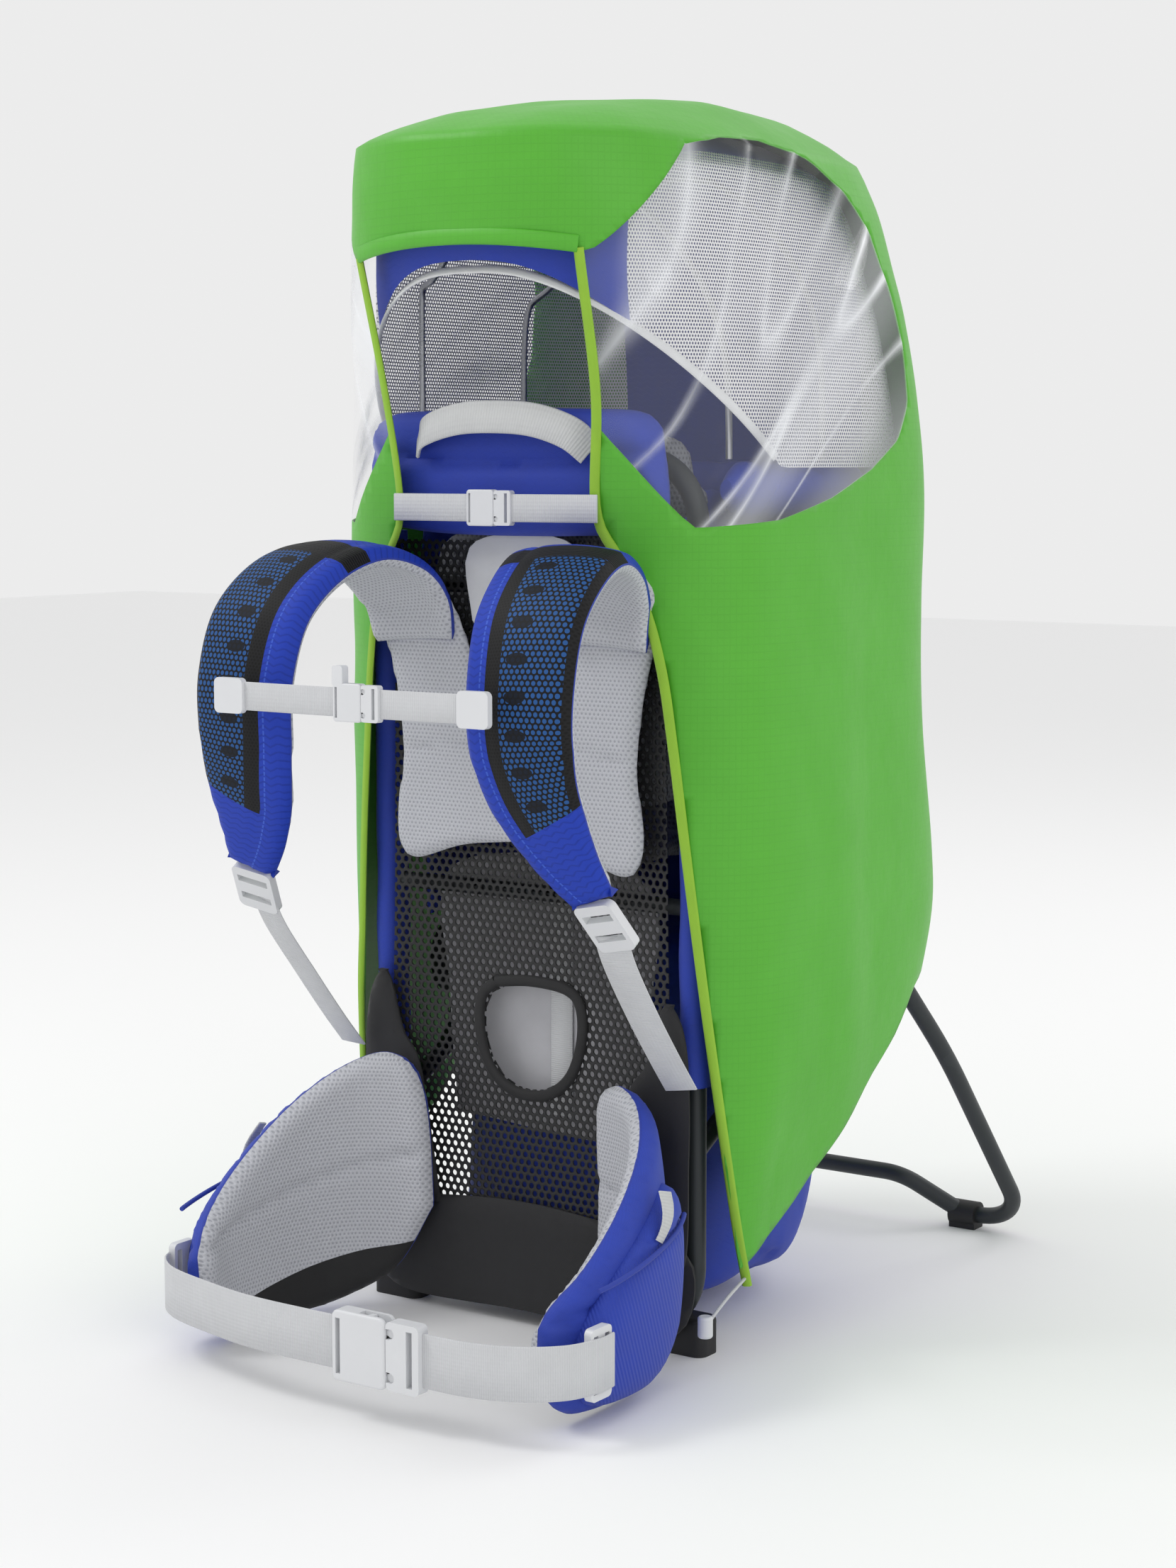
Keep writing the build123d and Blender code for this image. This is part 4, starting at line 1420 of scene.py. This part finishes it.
@dataclass
class BackSide:
    """What the wearer's back sees: mesh, rims, bands, top panel, handle and label."""

    mesh_y: float = -0.072
    hole_outline: Sequence[Flat] = (
        (-0.030, 0.2575), (0.0, 0.2605), (0.030, 0.2575), (0.0415, 0.246), (0.0425, 0.222),
        (0.033, 0.197), (0.013, 0.183), (-0.013, 0.183), (-0.033, 0.197), (-0.0425, 0.222),
        (-0.0415, 0.246),
    )
    sheet_outline: Sequence[Flat] = (
        (-0.132, 0.080), (0.132, 0.080), (0.126, 0.30), (0.122, 0.594), (-0.122, 0.594), (-0.126, 0.30),
    )
    band_outline: Sequence[Flat] = (
        (-0.146, 0.028), (-0.110, 0.010), (0, 0.012), (0.110, 0.010), (0.146, 0.028), (0.148, 0.075),
        (0.10, 0.088), (0, 0.096), (-0.10, 0.088), (-0.148, 0.075),
    )
    panel_outline: Sequence[Flat] = (
        (-0.128, 0.606), (-0.06, 0.599), (0.06, 0.599), (0.128, 0.606), (0.131, 0.650), (0.120, 0.684),
        (0.06, 0.690), (-0.06, 0.690), (-0.120, 0.684), (-0.131, 0.650),
    )
    label_outline: Sequence[Flat] = (
        (-0.044, 0.528), (0.048, 0.528), (0.048, 0.592), (-0.044, 0.592),
    )
    handle_line: Sequence[Sequence[float]] = (
        (-0.079, -0.098, 0.664), (-0.066, -0.106, 0.675), (-0.034, -0.110, 0.683),
        (0.0, -0.111, 0.6845), (0.034, -0.110, 0.682), (0.062, -0.106, 0.673), (0.077, -0.098, 0.660),
    )

    def build(self) -> None:
        """Makes every piece of the back side."""
        hole = rounded(self.hole_outline, 80)
        sheet = np.array(self.sheet_outline)

        def dish(u: float, v: float, off: float) -> Vector:
            """Bows the mesh in between the uprights."""
            sag = 0.016 * (1 - (u / 0.135) ** 2) * math.sin(math.pi * min(1.0, max(0.0, (v - 0.08) / 0.5)))
            return Vector((u, self.mesh_y - off + sag * 0.6, v))

        net = Pad(
            "back_net", sheet, 0.0012, dish, ["black back mesh"], cell=0.012, edge=0.004, rim=0.001,
            holes=[hole]
        )
        piece = net.build()
        join_body(piece, "frame", "black_mesh", "back_mesh")

        middle = hole.mean(0)
        wide = middle + (hole - middle) * 1.10
        spine = [dish(u, v, 0.002) for u, v in (*wide, wide[0])]
        sides, outs = directions(spine, Vector((0, 1, 0)))
        ring = sweep("hole_binding", spine, outs, sides, strip_section(0.0085, 0.005), "black tape")
        join_body(ring, "frame", "black_fabric", "hole_rim")

        band_edge = rounded(self.band_outline)
        band = Pad(
            "base_band", band_edge, 0.008, upright(-0.0745), ["black cloth"], cell=0.008, edge=0.006
        ).build()
        join_body(band, "frame", "black_fabric", "bottom_band")
        for side, label in ((1, "right"), (-1, "left")):
            # black lumbar cheek between the mesh and the hip wing's root
            cheek_edge = rounded(
                [
                    (side * u, v)
                    for u, v in (
                        (0.078, 0.090), (0.140, 0.060), (0.149, 0.150), (0.146, 0.235),
                        (0.128, 0.262), (0.112, 0.215), (0.096, 0.190)
                    )
                ]
            )
            cheek = Pad(
                f"lumbar_cheek_{label}", cheek_edge, 0.007, upright(-0.0785), ["black cloth"],
                cell=0.007, edge=0.006
            ).build()
            join_body(cheek, "frame", "black_fabric")
            self.sleeve(side, label)

        panel_edge = rounded(self.panel_outline)
        panel = Pad(
            "top_panel_cover", panel_edge, 0.024, upright(-0.085), ["blue cloth"], cell=0.005, edge=0.014,
            quilt=lambda u, v: 1 - 0.42 * math.exp(
                -(((v - 0.655 + 0.004 * math.cos(u * 20)) / 0.004) ** 2)
            ),
        ).build()
        join_body(panel, "frame", "blue_fabric", "top_panel")
        label_edge = rounded(self.label_outline, 60)
        patch = Pad(
            "plain_label", label_edge, 0.0014, upright(-0.0776), ["label cloth"], cell=0.01,
            edge=0.002
        ).build()
        join_body(patch, "frame", "label_white", "label_patch")
        self.handle()

    def sleeve(self, side: int, label: str) -> None:
        """Covers one upright with a blue fabric sleeve.

        Args:
            side: 1 on the right, -1 on the left.
            label: the side's name.
        """
        spine = smooth_line([(side * 0.140, -0.055, z) for z in (0.20, 0.30, 0.45, 0.60)], 60)
        sides, outs = directions(spine, Vector((1, 0, 0)))
        sleeve = sweep(
            f"upright_sleeve_{label}", spine, sides, outs,
            lambda t: [
                (a * (1 + 0.05 * math.sin(t * 34)), b * (1 + 0.04 * math.sin(t * 27 + 1)))
                for a, b in round_section(0.0115, 18, 1.25)
            ],
            "blue sewn cloth",
        )
        join_body(sleeve, "frame", "blue_fabric")

    def handle(self) -> None:
        """Arches the ribbed grab handle over the top panel."""
        spine = smooth_line(self.handle_line, 50)
        sides, outs = directions(spine, Vector((0, 0.25, 1)))
        grip = sweep(
            "handle_tape", spine, sides, outs, strip_section(0.0245, 0.0028), "grey handle webbing"
        )
        join_body(grip, "frame", "webbing", "grab_handle")


@dataclass
class ChildSide:
    """Cargo bag, walls, cockpit rim, pads and foot stirrups."""

    front_outline: Sequence[Flat] = (
        (-0.085, 0.150), (0.085, 0.150), (0.092, 0.24), (0.086, 0.345), (-0.086, 0.345), (-0.092, 0.24),
    )
    rim_line: Sequence[Sequence[float]] = (
        (0.150, -0.034, 0.632), (0.153, 0.05, 0.630), (0.150, 0.13, 0.630), (0.120, 0.182, 0.631),
        (0.05, 0.197, 0.632), (-0.05, 0.197, 0.632), (-0.120, 0.182, 0.631), (-0.150, 0.13, 0.630),
        (-0.153, 0.05, 0.630), (-0.150, -0.034, 0.632),
    )
    wall_outline: Sequence[Flat] = (
        (-0.036, 0.302), (0.156, 0.302), (0.166, 0.44), (0.170, 0.608), (0.06, 0.614), (-0.036, 0.608),
    )
    rear_outline: Sequence[Flat] = (
        (-0.114, 0.302), (0.114, 0.302), (0.116, 0.45), (0.116, 0.606), (-0.116, 0.606), (-0.116, 0.45),
    )
    face_outline: Sequence[Flat] = (
        (-0.110, 0.612), (0.110, 0.612), (0.113, 0.645), (0.085, 0.672), (-0.085, 0.672),
        (-0.113, 0.645),
    )
    chest_outline: Sequence[Flat] = (
        (-0.102, 0.404), (0.102, 0.404), (0.104, 0.5), (0.098, 0.596), (-0.098, 0.596), (-0.104, 0.5),
    )
    seat_outline: Sequence[Flat] = (
        (-0.066, -0.012), (0.066, -0.012), (0.052, 0.06), (0.068, 0.128), (-0.068, 0.128),
        (-0.052, 0.06),
    )

    def build(self) -> None:
        """Makes every soft piece on the child's side."""
        self.bag()
        self.rim()
        self.walls()
        self.pads()
        self.stirrups()

    def bag(self) -> None:
        """Sewn cargo bag that sags on its base."""
        bm = bmesh.new()
        rows = [
            (0.020, 0.100, -0.018, 0.150), (0.026, 0.114, -0.027, 0.166), (0.050, 0.122, -0.033, 0.184),
            (0.09, 0.124, -0.036, 0.202), (0.15, 0.120, -0.036, 0.206), (0.21, 0.108, -0.035, 0.198),
            (0.26, 0.104, -0.033, 0.180), (0.292, 0.098, -0.030, 0.160),
        ]
        rings = []
        for z, half, front, rear in smooth_line(rows, 34):
            ring = []
            for k in range(64):
                a = 2 * math.pi * k / 64
                c, s = math.cos(a), math.sin(a)
                n = (abs(c) ** 3.4 + abs(s) ** 3.4) ** (-1 / 3.4)
                at = Vector((half * c * n, (front + rear) / 2 + (rear - front) / 2 * s * n, z))
                ring.append(bm.verts.new(at + Vector((c, s, 0)) * 0.0022 * bumpy(at, 46, 3.3)))
            rings.append(ring)
        for a, b in zip(rings, rings[1:]):
            for k in range(64):
                bm.faces.new((a[k], a[(k + 1) % 64], b[(k + 1) % 64], b[k]))
        for ring in (rings[0], rings[-1]):
            bm.faces.new(ring)
        sack = finish_object("cargo_bag", bm, ["blue cloth"], 70)
        inflate(sack, 0.006, 0.006, 2.0)
        join_body(sack, "frame", "blue_fabric", "lower_bag")
        front = rounded(self.front_outline, 70)
        lining = Pad(
            "lumbar_lining", front, 0.005, upright(-0.0445), ["pale inner cloth"], cell=0.008,
            edge=0.008
        ).build()
        join_body(lining, "frame", "grey_spacer")
        strap = [Vector((0.016, -0.0485, z)) for z in np.linspace(0.160, 0.330, 12)]
        sides, outs = directions(strap, Vector((1, 0, 0)))
        join_body(
            sweep("lining_strap", strap, sides, outs, strip_section(0.020, 0.0016), "white webbing"),
            "frame", "webbing"
        )

    def rim(self) -> None:
        """Padded rim round the cockpit."""
        spine = smooth_line(self.rim_line, 110)
        sides, outs = directions(spine, Vector((0, 0, 1)))

        def section(t: float) -> list[Flat]:
            """Pinched a little at every sewn joint.

            Args:
                t: share of the way along the roll.

            Returns:
                The section's points.
            """
            pinch = 1 - 0.10 * math.exp(-((((t * 9) % 1.0) - 0.5) / 0.06) ** 2)
            end = min(1.0, (0.35 + min(t, 1 - t) * 26))
            return [(a * pinch * end, b * pinch * end) for a, b in round_section(0.021, 20, 0.72)]

        roll = sweep("cockpit_roll", spine, sides, outs, section, "blue sewn cloth")
        join_body(roll, "frame", "blue_fabric", "cockpit_rim")

    def walls(self) -> None:
        """Side and rear walls of the cockpit."""
        wall = rounded(self.wall_outline, 80)
        for side, label in ((1, "right"), (-1, "left")):
            lay = Pad(
                f"cockpit_wall_{label}", wall, 0.008,
                lambda u, v, off, s=side: Vector((s * (0.1205 + off), u, v)), ["blue cloth"],
                cell=0.009, edge=0.008
            ).build()
            join_body(lay, "frame", "blue_fabric", *(["side_walls"] if side > 0 else []))
        rear = rounded(self.rear_outline, 80)
        back = Pad(
            "cockpit_rear", rear, 0.009,
            lambda u, v, off: Vector((u, 0.154 + (v - 0.302) * 0.046 + off, v)), ["blue cloth"],
            cell=0.009, edge=0.008
        ).build()
        join_body(back, "frame", "blue_fabric", "rear_wall")

    def pads(self) -> None:
        """Seat pad, chest pad, face pad and the child's own harness."""
        face = rounded(self.face_outline, 70)
        drool = Pad(
            "face_cushion", face, 0.026, upright(-0.024), ["grey pad cloth"], cell=0.006, edge=0.012
        ).build()
        join_body(drool, "frame", "grey_spacer", "face_pad")
        chest = rounded(self.chest_outline, 70)
        front = Pad(
            "chest_cushion", chest, 0.015, upright(-0.030), ["grey pad cloth"], cell=0.008, edge=0.012
        ).build()
        join_body(front, "frame", "grey_spacer", "child_front_pad")
        seat = rounded(self.seat_outline, 70)
        saddle = Pad(
            "seat_cushion", seat, 0.018,
            lambda u, v, off: Vector((u, v, 0.361 - 0.06 * v + 0.9 * max(0.0, v - 0.10) + off)),
            ["grey pad cloth"], cell=0.006, edge=0.012
        ).build()
        join_body(saddle, "seat", "grey_spacer", "seat_pad")
        for side, label in ((1, "right"), (-1, "left")):
            spine = smooth_line(
                [
                    (side * 0.052, 0.146, 0.585), (side * 0.050, 0.128, 0.54),
                    (side * 0.047, 0.098, 0.475), (side * 0.04, 0.089, 0.43)
                ],
                40
            )
            sides, outs = directions(spine, Vector((1, 0, 0)))
            strap = sweep(
                f"child_strap_{label}", spine, sides, outs, strip_section(0.036, 0.007), "black tape"
            )
            join_body(strap, "frame", "grey_spacer", *(["child_harness"] if side > 0 else []))

    def stirrups(self) -> None:
        """Webbing loops that hold the child's feet."""
        for side, label in ((1, "right"), (-1, "left")):
            loop = [
                (0.008 + 0.029 * math.sin(a), 0.262 - 0.030 * math.cos(a))
                for a in np.linspace(0, 2 * math.pi, 41)
            ]
            spine = [Vector((side * 0.1215, y, z)) for y, z in loop]
            sides, outs = directions(spine, Vector((1, 0, 0)))
            tape = sweep(
                f"stirrup_tape_{label}", spine, sides, outs, strip_section(0.018, 0.0018),
                "black tape"
            )
            join_body(tape, f"stirrup_{label}", "black_fabric", f"stirrup_{label}")


# ---- harness and hip belt -----------------------------------------------------
@dataclass
class Harness:
    """Yoke, shoulder straps and their webbing."""

    spine: Sequence[Sequence[float]] = (
        (0.086, -0.091, 0.520), (0.088, -0.099, 0.552), (0.094, -0.123, 0.577), (0.103, -0.162, 0.588),
        (0.112, -0.202, 0.576), (0.118, -0.236, 0.545), (0.121, -0.251, 0.500), (0.122, -0.251, 0.460),
        (0.127, -0.241, 0.424), (0.138, -0.223, 0.388), (0.153, -0.205, 0.356),
    )
    widths: Sequence[Flat] = (
        (0.0, 0.072), (0.1, 0.084), (0.25, 0.092), (0.5, 0.088), (0.72, 0.084), (0.84, 0.072),
        (0.93, 0.054), (1.0, 0.038)
    )
    thick: float = 0.015

    def build(self) -> None:
        """Makes the yoke, both straps and the lower webbing."""
        self.yoke()
        for side, label in ((1, "right"), (-1, "left")):
            self.strap(side, label)
            self.lower_webbing(side, label)

    def yoke(self) -> None:
        """Grey spacer-mesh yoke with two limbs and a sewn crease."""
        half = [
            (0, 0.372), (0.05, 0.366), (0.094, 0.353), (0.108, 0.362), (0.112, 0.385), (0.106, 0.430),
            (0.112, 0.485), (0.125, 0.535), (0.126, 0.566), (0.104, 0.578), (0.070, 0.574),
            (0.054, 0.545), (0.040, 0.505), (0.018, 0.472)
        ]
        outline = [*half, (0, 0.463)] + [(-u, v) for u, v in reversed(half[1:])]

        def lay(u: float, v: float, off: float) -> Vector:
            """The limbs lean forward towards their tops."""
            lean = max(0.0, v - 0.50)
            return Vector((u, -0.083 - off - 3.2 * lean * lean, v))

        pad = Pad(
            "yoke_cushion", rounded(outline, 150), 0.014, lay, [
                "grey spacer mesh", "blue edge tape"
            ], cell=0.005, edge=0.010,
            quilt=lambda u, v: 1 - 0.5 * math.exp(
                -(((v - 0.436 - 0.010 * math.cos(u * 16)) / 0.0032) ** 2)
            ),
        ).build()
        join_body(pad, "harness", "grey_spacer", "yoke_pad")

    def strap(self, side: int, label: str) -> None:
        """One shoulder strap, blue, black and mesh outside and grey spacer mesh inside.

        Args:
            side: 1 on the right, -1 on the left.
            label: the side's name.
        """
        stations = smooth_line([(side * x, y, z) for x, y, z in self.spine], 160)
        run = [0.0]
        for a, b in zip(stations, stations[1:]):
            run.append(run[-1] + (b - a).length)
        length = run[-1]
        sides, outs = directions(stations, Vector((1, 0, 0)))
        shares, widths = zip(*self.widths)
        outline = [(-float(np.interp(t, shares, widths)) / 2, t * length) for t in np.linspace(0, 1, 40)]
        outline += [(-a, b) for a, b in reversed(outline)]

        def lay(u: float, v: float, off: float) -> Vector:
            """Carries the flat strap along its loop, a little hollow towards the wearer.

            Args:
                u: place across the strap.
                v: place along the strap.
                off: height above its middle.

            Returns:
                The point.
            """
            k = min(len(stations) - 1.001, max(0.0, v / length * (len(stations) - 1)))
            i, f = int(k), k - int(k)
            at = stations[i].lerp(stations[i + 1], f)
            across = sides[i].lerp(sides[i + 1], f)
            out = outs[i].lerp(outs[i + 1], f)
            return at + across * u + out * (off - 3.0 * u * u)

        def half_at(v: float) -> float:
            """Half width at a distance along the strap."""
            return float(np.interp(v / length, shares, widths)) / 2

        def gaps(u: float, v: float) -> Flat:
            """Distances from the inboard and the outboard edge."""
            return half_at(v) + u * side, half_at(v) - u * side

        strap = Pad(
            f"strap_{label}", np.array(outline), self.thick, lay,
            ["grey spacer mesh", "strap face", "blue edge tape"], cell=0.005, edge=0.008, gaps=gaps,
            quilt=lambda u, v: 1 - 0.16 * math.exp(-(((gaps(u, v)[0] - 0.021) / 0.003) ** 2)),
            pick=lambda u, v, facing, inner: (2, 1, 0)[facing],
        ).build()
        join_body(strap, "harness", "blue_fabric", f"shoulder_strap_{label}")

    def lower_webbing(self, side: int, label: str) -> None:
        """Webbing from the ladder lock down to the pack's side.

        Args:
            side: 1 on the right, -1 on the left.
            label: the side's name.
        """
        spine = smooth_line(
            [
                (side * x, y, z)
                for x, y, z in (
                    (0.156, -0.190, 0.330), (0.155, -0.176, 0.306), (0.153, -0.146, 0.268),
                    (0.152, -0.116, 0.232), (0.151, -0.092, 0.205)
                )
            ],
            60
        )
        sides, outs = directions(spine, Vector((1, 0.2 * side, 0.1)))
        tape = sweep(
            f"lower_tape_{label}", spine, sides, outs, strip_section(0.025, 0.0016), "white webbing"
        )
        if side > 0:
            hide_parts("strap_webbings")
        blend_tape(tape)


@dataclass
class SternumStrap:
    """Webbing across the chest."""

    y: float = -0.280
    z: float = 0.489

    def build(self) -> None:
        """Lays both webbing halves."""
        for label, near, far in (("left", -0.006, -0.116), ("right", 0.027, 0.116)):
            spine = [
                Vector((near + (far - near) * k / 14, self.y + 0.004 * (k / 14) ** 2, self.z))
                for k in range(15)
            ]
            sides, outs = directions(spine, Vector((0, 0, 1)))
            tape = sweep(
                f"sternum_tape_{label}", spine, sides, outs, strip_section(0.020, 0.0018),
                "white webbing"
            )
            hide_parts(f"sternum_webbing_{label}")
            if label == "right":
                blend_tape(
                    tape,
                )
            else:
                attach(tape, "sternum_strap")


@dataclass
class HipBelt:
    """Padded wings with pockets, and the webbing in front."""

    plan: Sequence[Flat] = (
        (0.078, -0.086), (0.112, -0.095), (0.140, -0.114), (0.160, -0.150), (0.168, -0.195),
        (0.166, -0.238), (0.154, -0.272)
    )
    wing_line: Sequence[Flat] = (
        (0.0, 0.085), (0.03, 0.035), (0.075, 0.012), (0.13, 0.005), (0.18, 0.005), (0.218, 0.014),
        (0.240, 0.052), (0.230, 0.084), (0.200, 0.108), (0.160, 0.138), (0.115, 0.170), (0.07, 0.195),
        (0.03, 0.204), (0.006, 0.180),
    )
    pocket_outline: Sequence[Flat] = (
        (0.075, 0.035), (0.12, 0.012), (0.17, 0.010), (0.205, 0.020), (0.214, 0.052), (0.206, 0.078),
        (0.18, 0.104), (0.14, 0.130), (0.10, 0.148), (0.08, 0.115),
    )

    def build(self) -> None:
        """Makes both wings and their webbing."""
        for side, label in ((1, "right"), (-1, "left")):
            self.wing(side, label)
        self.webbing()

    def lay_on(self, side: int, out: float = 0.0) -> tuple[Place, float]:
        """How a flat wing pad is bent round the hip.

        Args:
            side: 1 for the right wing, -1 for the left.
            out: how far outside the wing's middle the pad lies.

        Returns:
            The placing function and the wing's length.
        """
        line = smooth_line([(side * x, y, 0.0) for x, y in self.plan], 80)
        run = [0.0]
        for a, b in zip(line, line[1:]):
            run.append(run[-1] + (b - a).length)
        length = run[-1]

        def lay(u: float, v: float, off: float) -> Vector:
            """u runs from root to tip and v is the height.

            Args:
                u: place along the wing.
                v: height on the wing.
                off: height above its middle.

            Returns:
                The point.
            """
            k = min(len(line) - 1.001, max(0.0, u / length * (len(line) - 1)))
            i, f = int(k), k - int(k)
            at = line[i].lerp(line[i + 1], f)
            along = (line[i + 1] - line[i]).normalized()
            outward = Vector((-along.y, along.x, 0)) * (1 if side < 0 else -1)
            outward = Vector((side, 0, 0)) if outward.length < 0.5 else outward * math.copysign(
                1, outward.x * side
            )
            cup = 1.1 * (v - 0.10) ** 2
            return Vector((at.x, at.y, v)) + outward * (off + out - cup)

        return lay, length

    def wing(self, side: int, label: str) -> None:
        """Wing pad, pocket, flap piping and tab.

        Args:
            side: 1 on the right, -1 on the left.
            label: the side's name.
        """
        lay, length = self.lay_on(side)
        outline = rounded(self.wing_line, 120)

        def hem(u: float, v: float) -> float:
            """Negative in the black lower edge."""
            return v - (0.046 - 0.16 * (u - 0.08))

        def pick(u: float, v: float, facing: int, inner: float) -> int:
            """Grey inside with a black lower edge, blue outside.

            Args:
                u: place along the wing.
                v: height on the wing.
                facing: which face.
                inner: distance from the edge.

            Returns:
                The finish's number.
            """
            if facing > 0:
                return 1
            if facing == 0:
                return 2
            return 3 if hem(u, v) < 0 else 0

        pad = Pad(
            f"wing_pad_{label}", outline, 0.022, lay, [
                "grey spacer mesh", "blue sewn cloth", "blue edge tape", "black tape"
            ],
            cell=0.005, edge=0.014, pick=pick, lines=[hem],
            quilt=lambda u, v: 1 - 0.35 * math.exp(-(((v - 0.10 + 0.22 * (u - 0.13)) / 0.0035) ** 2)),
        ).build()
        join_body(pad, "frame", "blue_fabric", f"hip_wing_{label}")
        lay_out, _ = self.lay_on(side, 0.011)
        pocket_edge = rounded(self.pocket_outline, 100)
        pocket = Pad(
            f"wing_pocket_{label}", pocket_edge, 0.026, lay_out, [
                "blue stretch cloth", "blue sewn cloth"
            ], cell=0.005, edge=0.022,
            lines=[lambda u, v: v - (0.118 - 0.20 * (u - 0.12))],
            pick=lambda u, v, facing, inner: 1 if v > 0.118 - 0.20 * (u - 0.12) else 0,
            quilt=lambda u, v: 1 - 0.30 * math.exp(-(((v - 0.118 + 0.20 * (u - 0.12)) / 0.003) ** 2)),
        ).build()
        join_body(pocket, "frame", "blue_fabric")
        path = [lay_out(u, 0.118 - 0.20 * (u - 0.12), 0.0128) for u in np.linspace(0.092, 0.206, 40)]
        sides, outs = directions(path, Vector((0, 0, 1)))
        piping = sweep(
            f"pocket_piping_{label}", path, sides, outs, round_section(0.0018, 8), "blue edge tape"
        )
        join_body(piping, "frame", "blue_fabric")
        tab_line = [
            lay_out(0.128 + 0.0015 * k, 0.150 - 0.0035 * k, 0.011 + 0.004 * math.sin(k / 9 * math.pi))
            for k in range(10)
        ]
        sides, outs = directions(tab_line, Vector((0, 1, 0.2)))
        tab = sweep(
            f"pull_tab_{label}", tab_line, sides, outs, strip_section(0.012, 0.0018),
            "grey handle webbing"
        )
        join_body(tab, "frame", "webbing")

    def webbing(self) -> None:
        """Belt webbing on both sides of the buckle."""
        z = 0.052
        runs = {
            "right": (
                (0.084, -0.314), (0.125, -0.312), (0.158, -0.301), (0.182, -0.281), (0.1915, -0.256),
                (0.1915, -0.238)
            ),
            "left": (
                (0.0205, -0.314), (-0.06, -0.313), (-0.112, -0.304), (-0.158, -0.291),
                (-0.183, -0.273), (-0.1915, -0.254), (-0.1915, -0.238)
            ),
        }
        for label, run in runs.items():
            points = [(x, y, z) for x, y in run]
            spine = smooth_line(points, 70)
            sides, outs = directions(spine, Vector((0, 0, 1)))
            tape = sweep(
                f"belt_tape_{label}", spine, sides, outs, strip_section(0.038, 0.0018),
                "white webbing"
            )
            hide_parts(f"hip_webbing_{label}")
            if label == "right":
                blend_tape(tape)
            else:
                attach(tape, "frame")


# ---- hard parts and studio ----------------------------------------------------
def dress_hard_parts() -> None:
    """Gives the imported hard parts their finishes."""
    table = {
        "dark powder coat": ("frame_hoop", "side_tubes", "crossbars", "kickstand_tube"),
        "black rubber": ("hinge_housings", "base_feet", "kickstand_feet"),
        "steel": ("hinge_pins", "sunshade_wires"),
        "white plastic": (
            "ladder_locks", "sternum_sliders", "tri_glides", "hem_toggle",
            *[
                f"{b}_buckle_{p}"
                for b in ("hip", "sternum", "neck") for p in (
                    "socket", "plug", "prong_upper", "prong_lower"
                )
            ],
        ),
    }
    for finish, nodes in table.items():
        for node in nodes:
            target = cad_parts[node]
            target.data.materials.clear()
            target.data.materials.append(FINISH[finish])
            LOG.info("%s is %s", node, finish)


@dataclass
class Studio:
    """Pale floor, soft lights and the camera."""

    azimuth: float = 34.59
    pitch: float = 6.40
    lens: float = 65.64
    eye: tuple[float, float, float] = (1.238, -1.817, 0.651)

    def build(self) -> None:
        """Makes floor, lights, world and camera."""
        bm = bmesh.new()
        corners = [bm.verts.new((x, y, 0)) for x, y in ((-9, -9), (9, -9), (9, 9), (-9, 9))]
        bm.faces.new(corners)
        s = Shader("studio floor")
        s.surface.inputs["Base Color"].default_value = (0.93, 0.93, 0.93, 1)
        s.surface.inputs["Roughness"].default_value = 0.7
        FINISH.made["studio floor"] = s.material
        floor = finish_object("studio_floor", bm, ["studio floor"])
        world = bpy.data.worlds.new("studio")
        world.use_nodes = True
        world.node_tree.nodes["Background"].inputs[0].default_value = (1, 1, 1, 1)
        world.node_tree.nodes["Background"].inputs[1].default_value = 0.84
        bpy.context.scene.world = world
        for name, at, size, power in (
            ("key", (-1.7, -1.5, 2.8), 1.0, 26),
            ("fill", (2.6, -1.4, 1.8), 1.6, 9),
            ("rim", (0.8, 2.6, 2.4), 1.4, 12),
        ):
            lamp = bpy.data.lights.new(name, "AREA")
            lamp.energy = power
            lamp.size = size
            holder = bpy.data.objects.new(name, lamp)
            holder.location = at
            holder.rotation_euler = (Vector((0, 0, 0.45)) - Vector(at)).to_track_quat("-Z", "Y").to_euler()
            bpy.context.scene.collection.objects.link(holder)
        a, p = math.radians(self.azimuth), math.radians(self.pitch)
        look = Vector((-math.sin(a) * math.cos(p), math.cos(a) * math.cos(p), -math.sin(p)))
        eye = bpy.data.cameras.new("camera")
        eye.lens = self.lens
        eye.sensor_width = 36.0
        holder = bpy.data.objects.new("camera", eye)
        holder.location = self.eye
        holder.rotation_euler = look.to_track_quat("-Z", "Y").to_euler()
        bpy.context.scene.collection.objects.link(holder)
        bpy.context.scene.camera = holder
        bpy.context.scene.view_settings.view_transform = "Standard"


def main() -> None:
    """Builds the carrier's looks in order."""
    logging.basicConfig(level=logging.INFO, format="%(name)s: %(message)s")
    FINISH.build()
    Studio().build()
    dress_hard_parts()
    for part in (BackSide(), ChildSide(), Sunshade(), Harness(), SternumStrap(), HipBelt(), RainCover()):
        part.build()
        LOG.info("%s done", type(part).__name__)


if __name__ == "__main__":
    main()
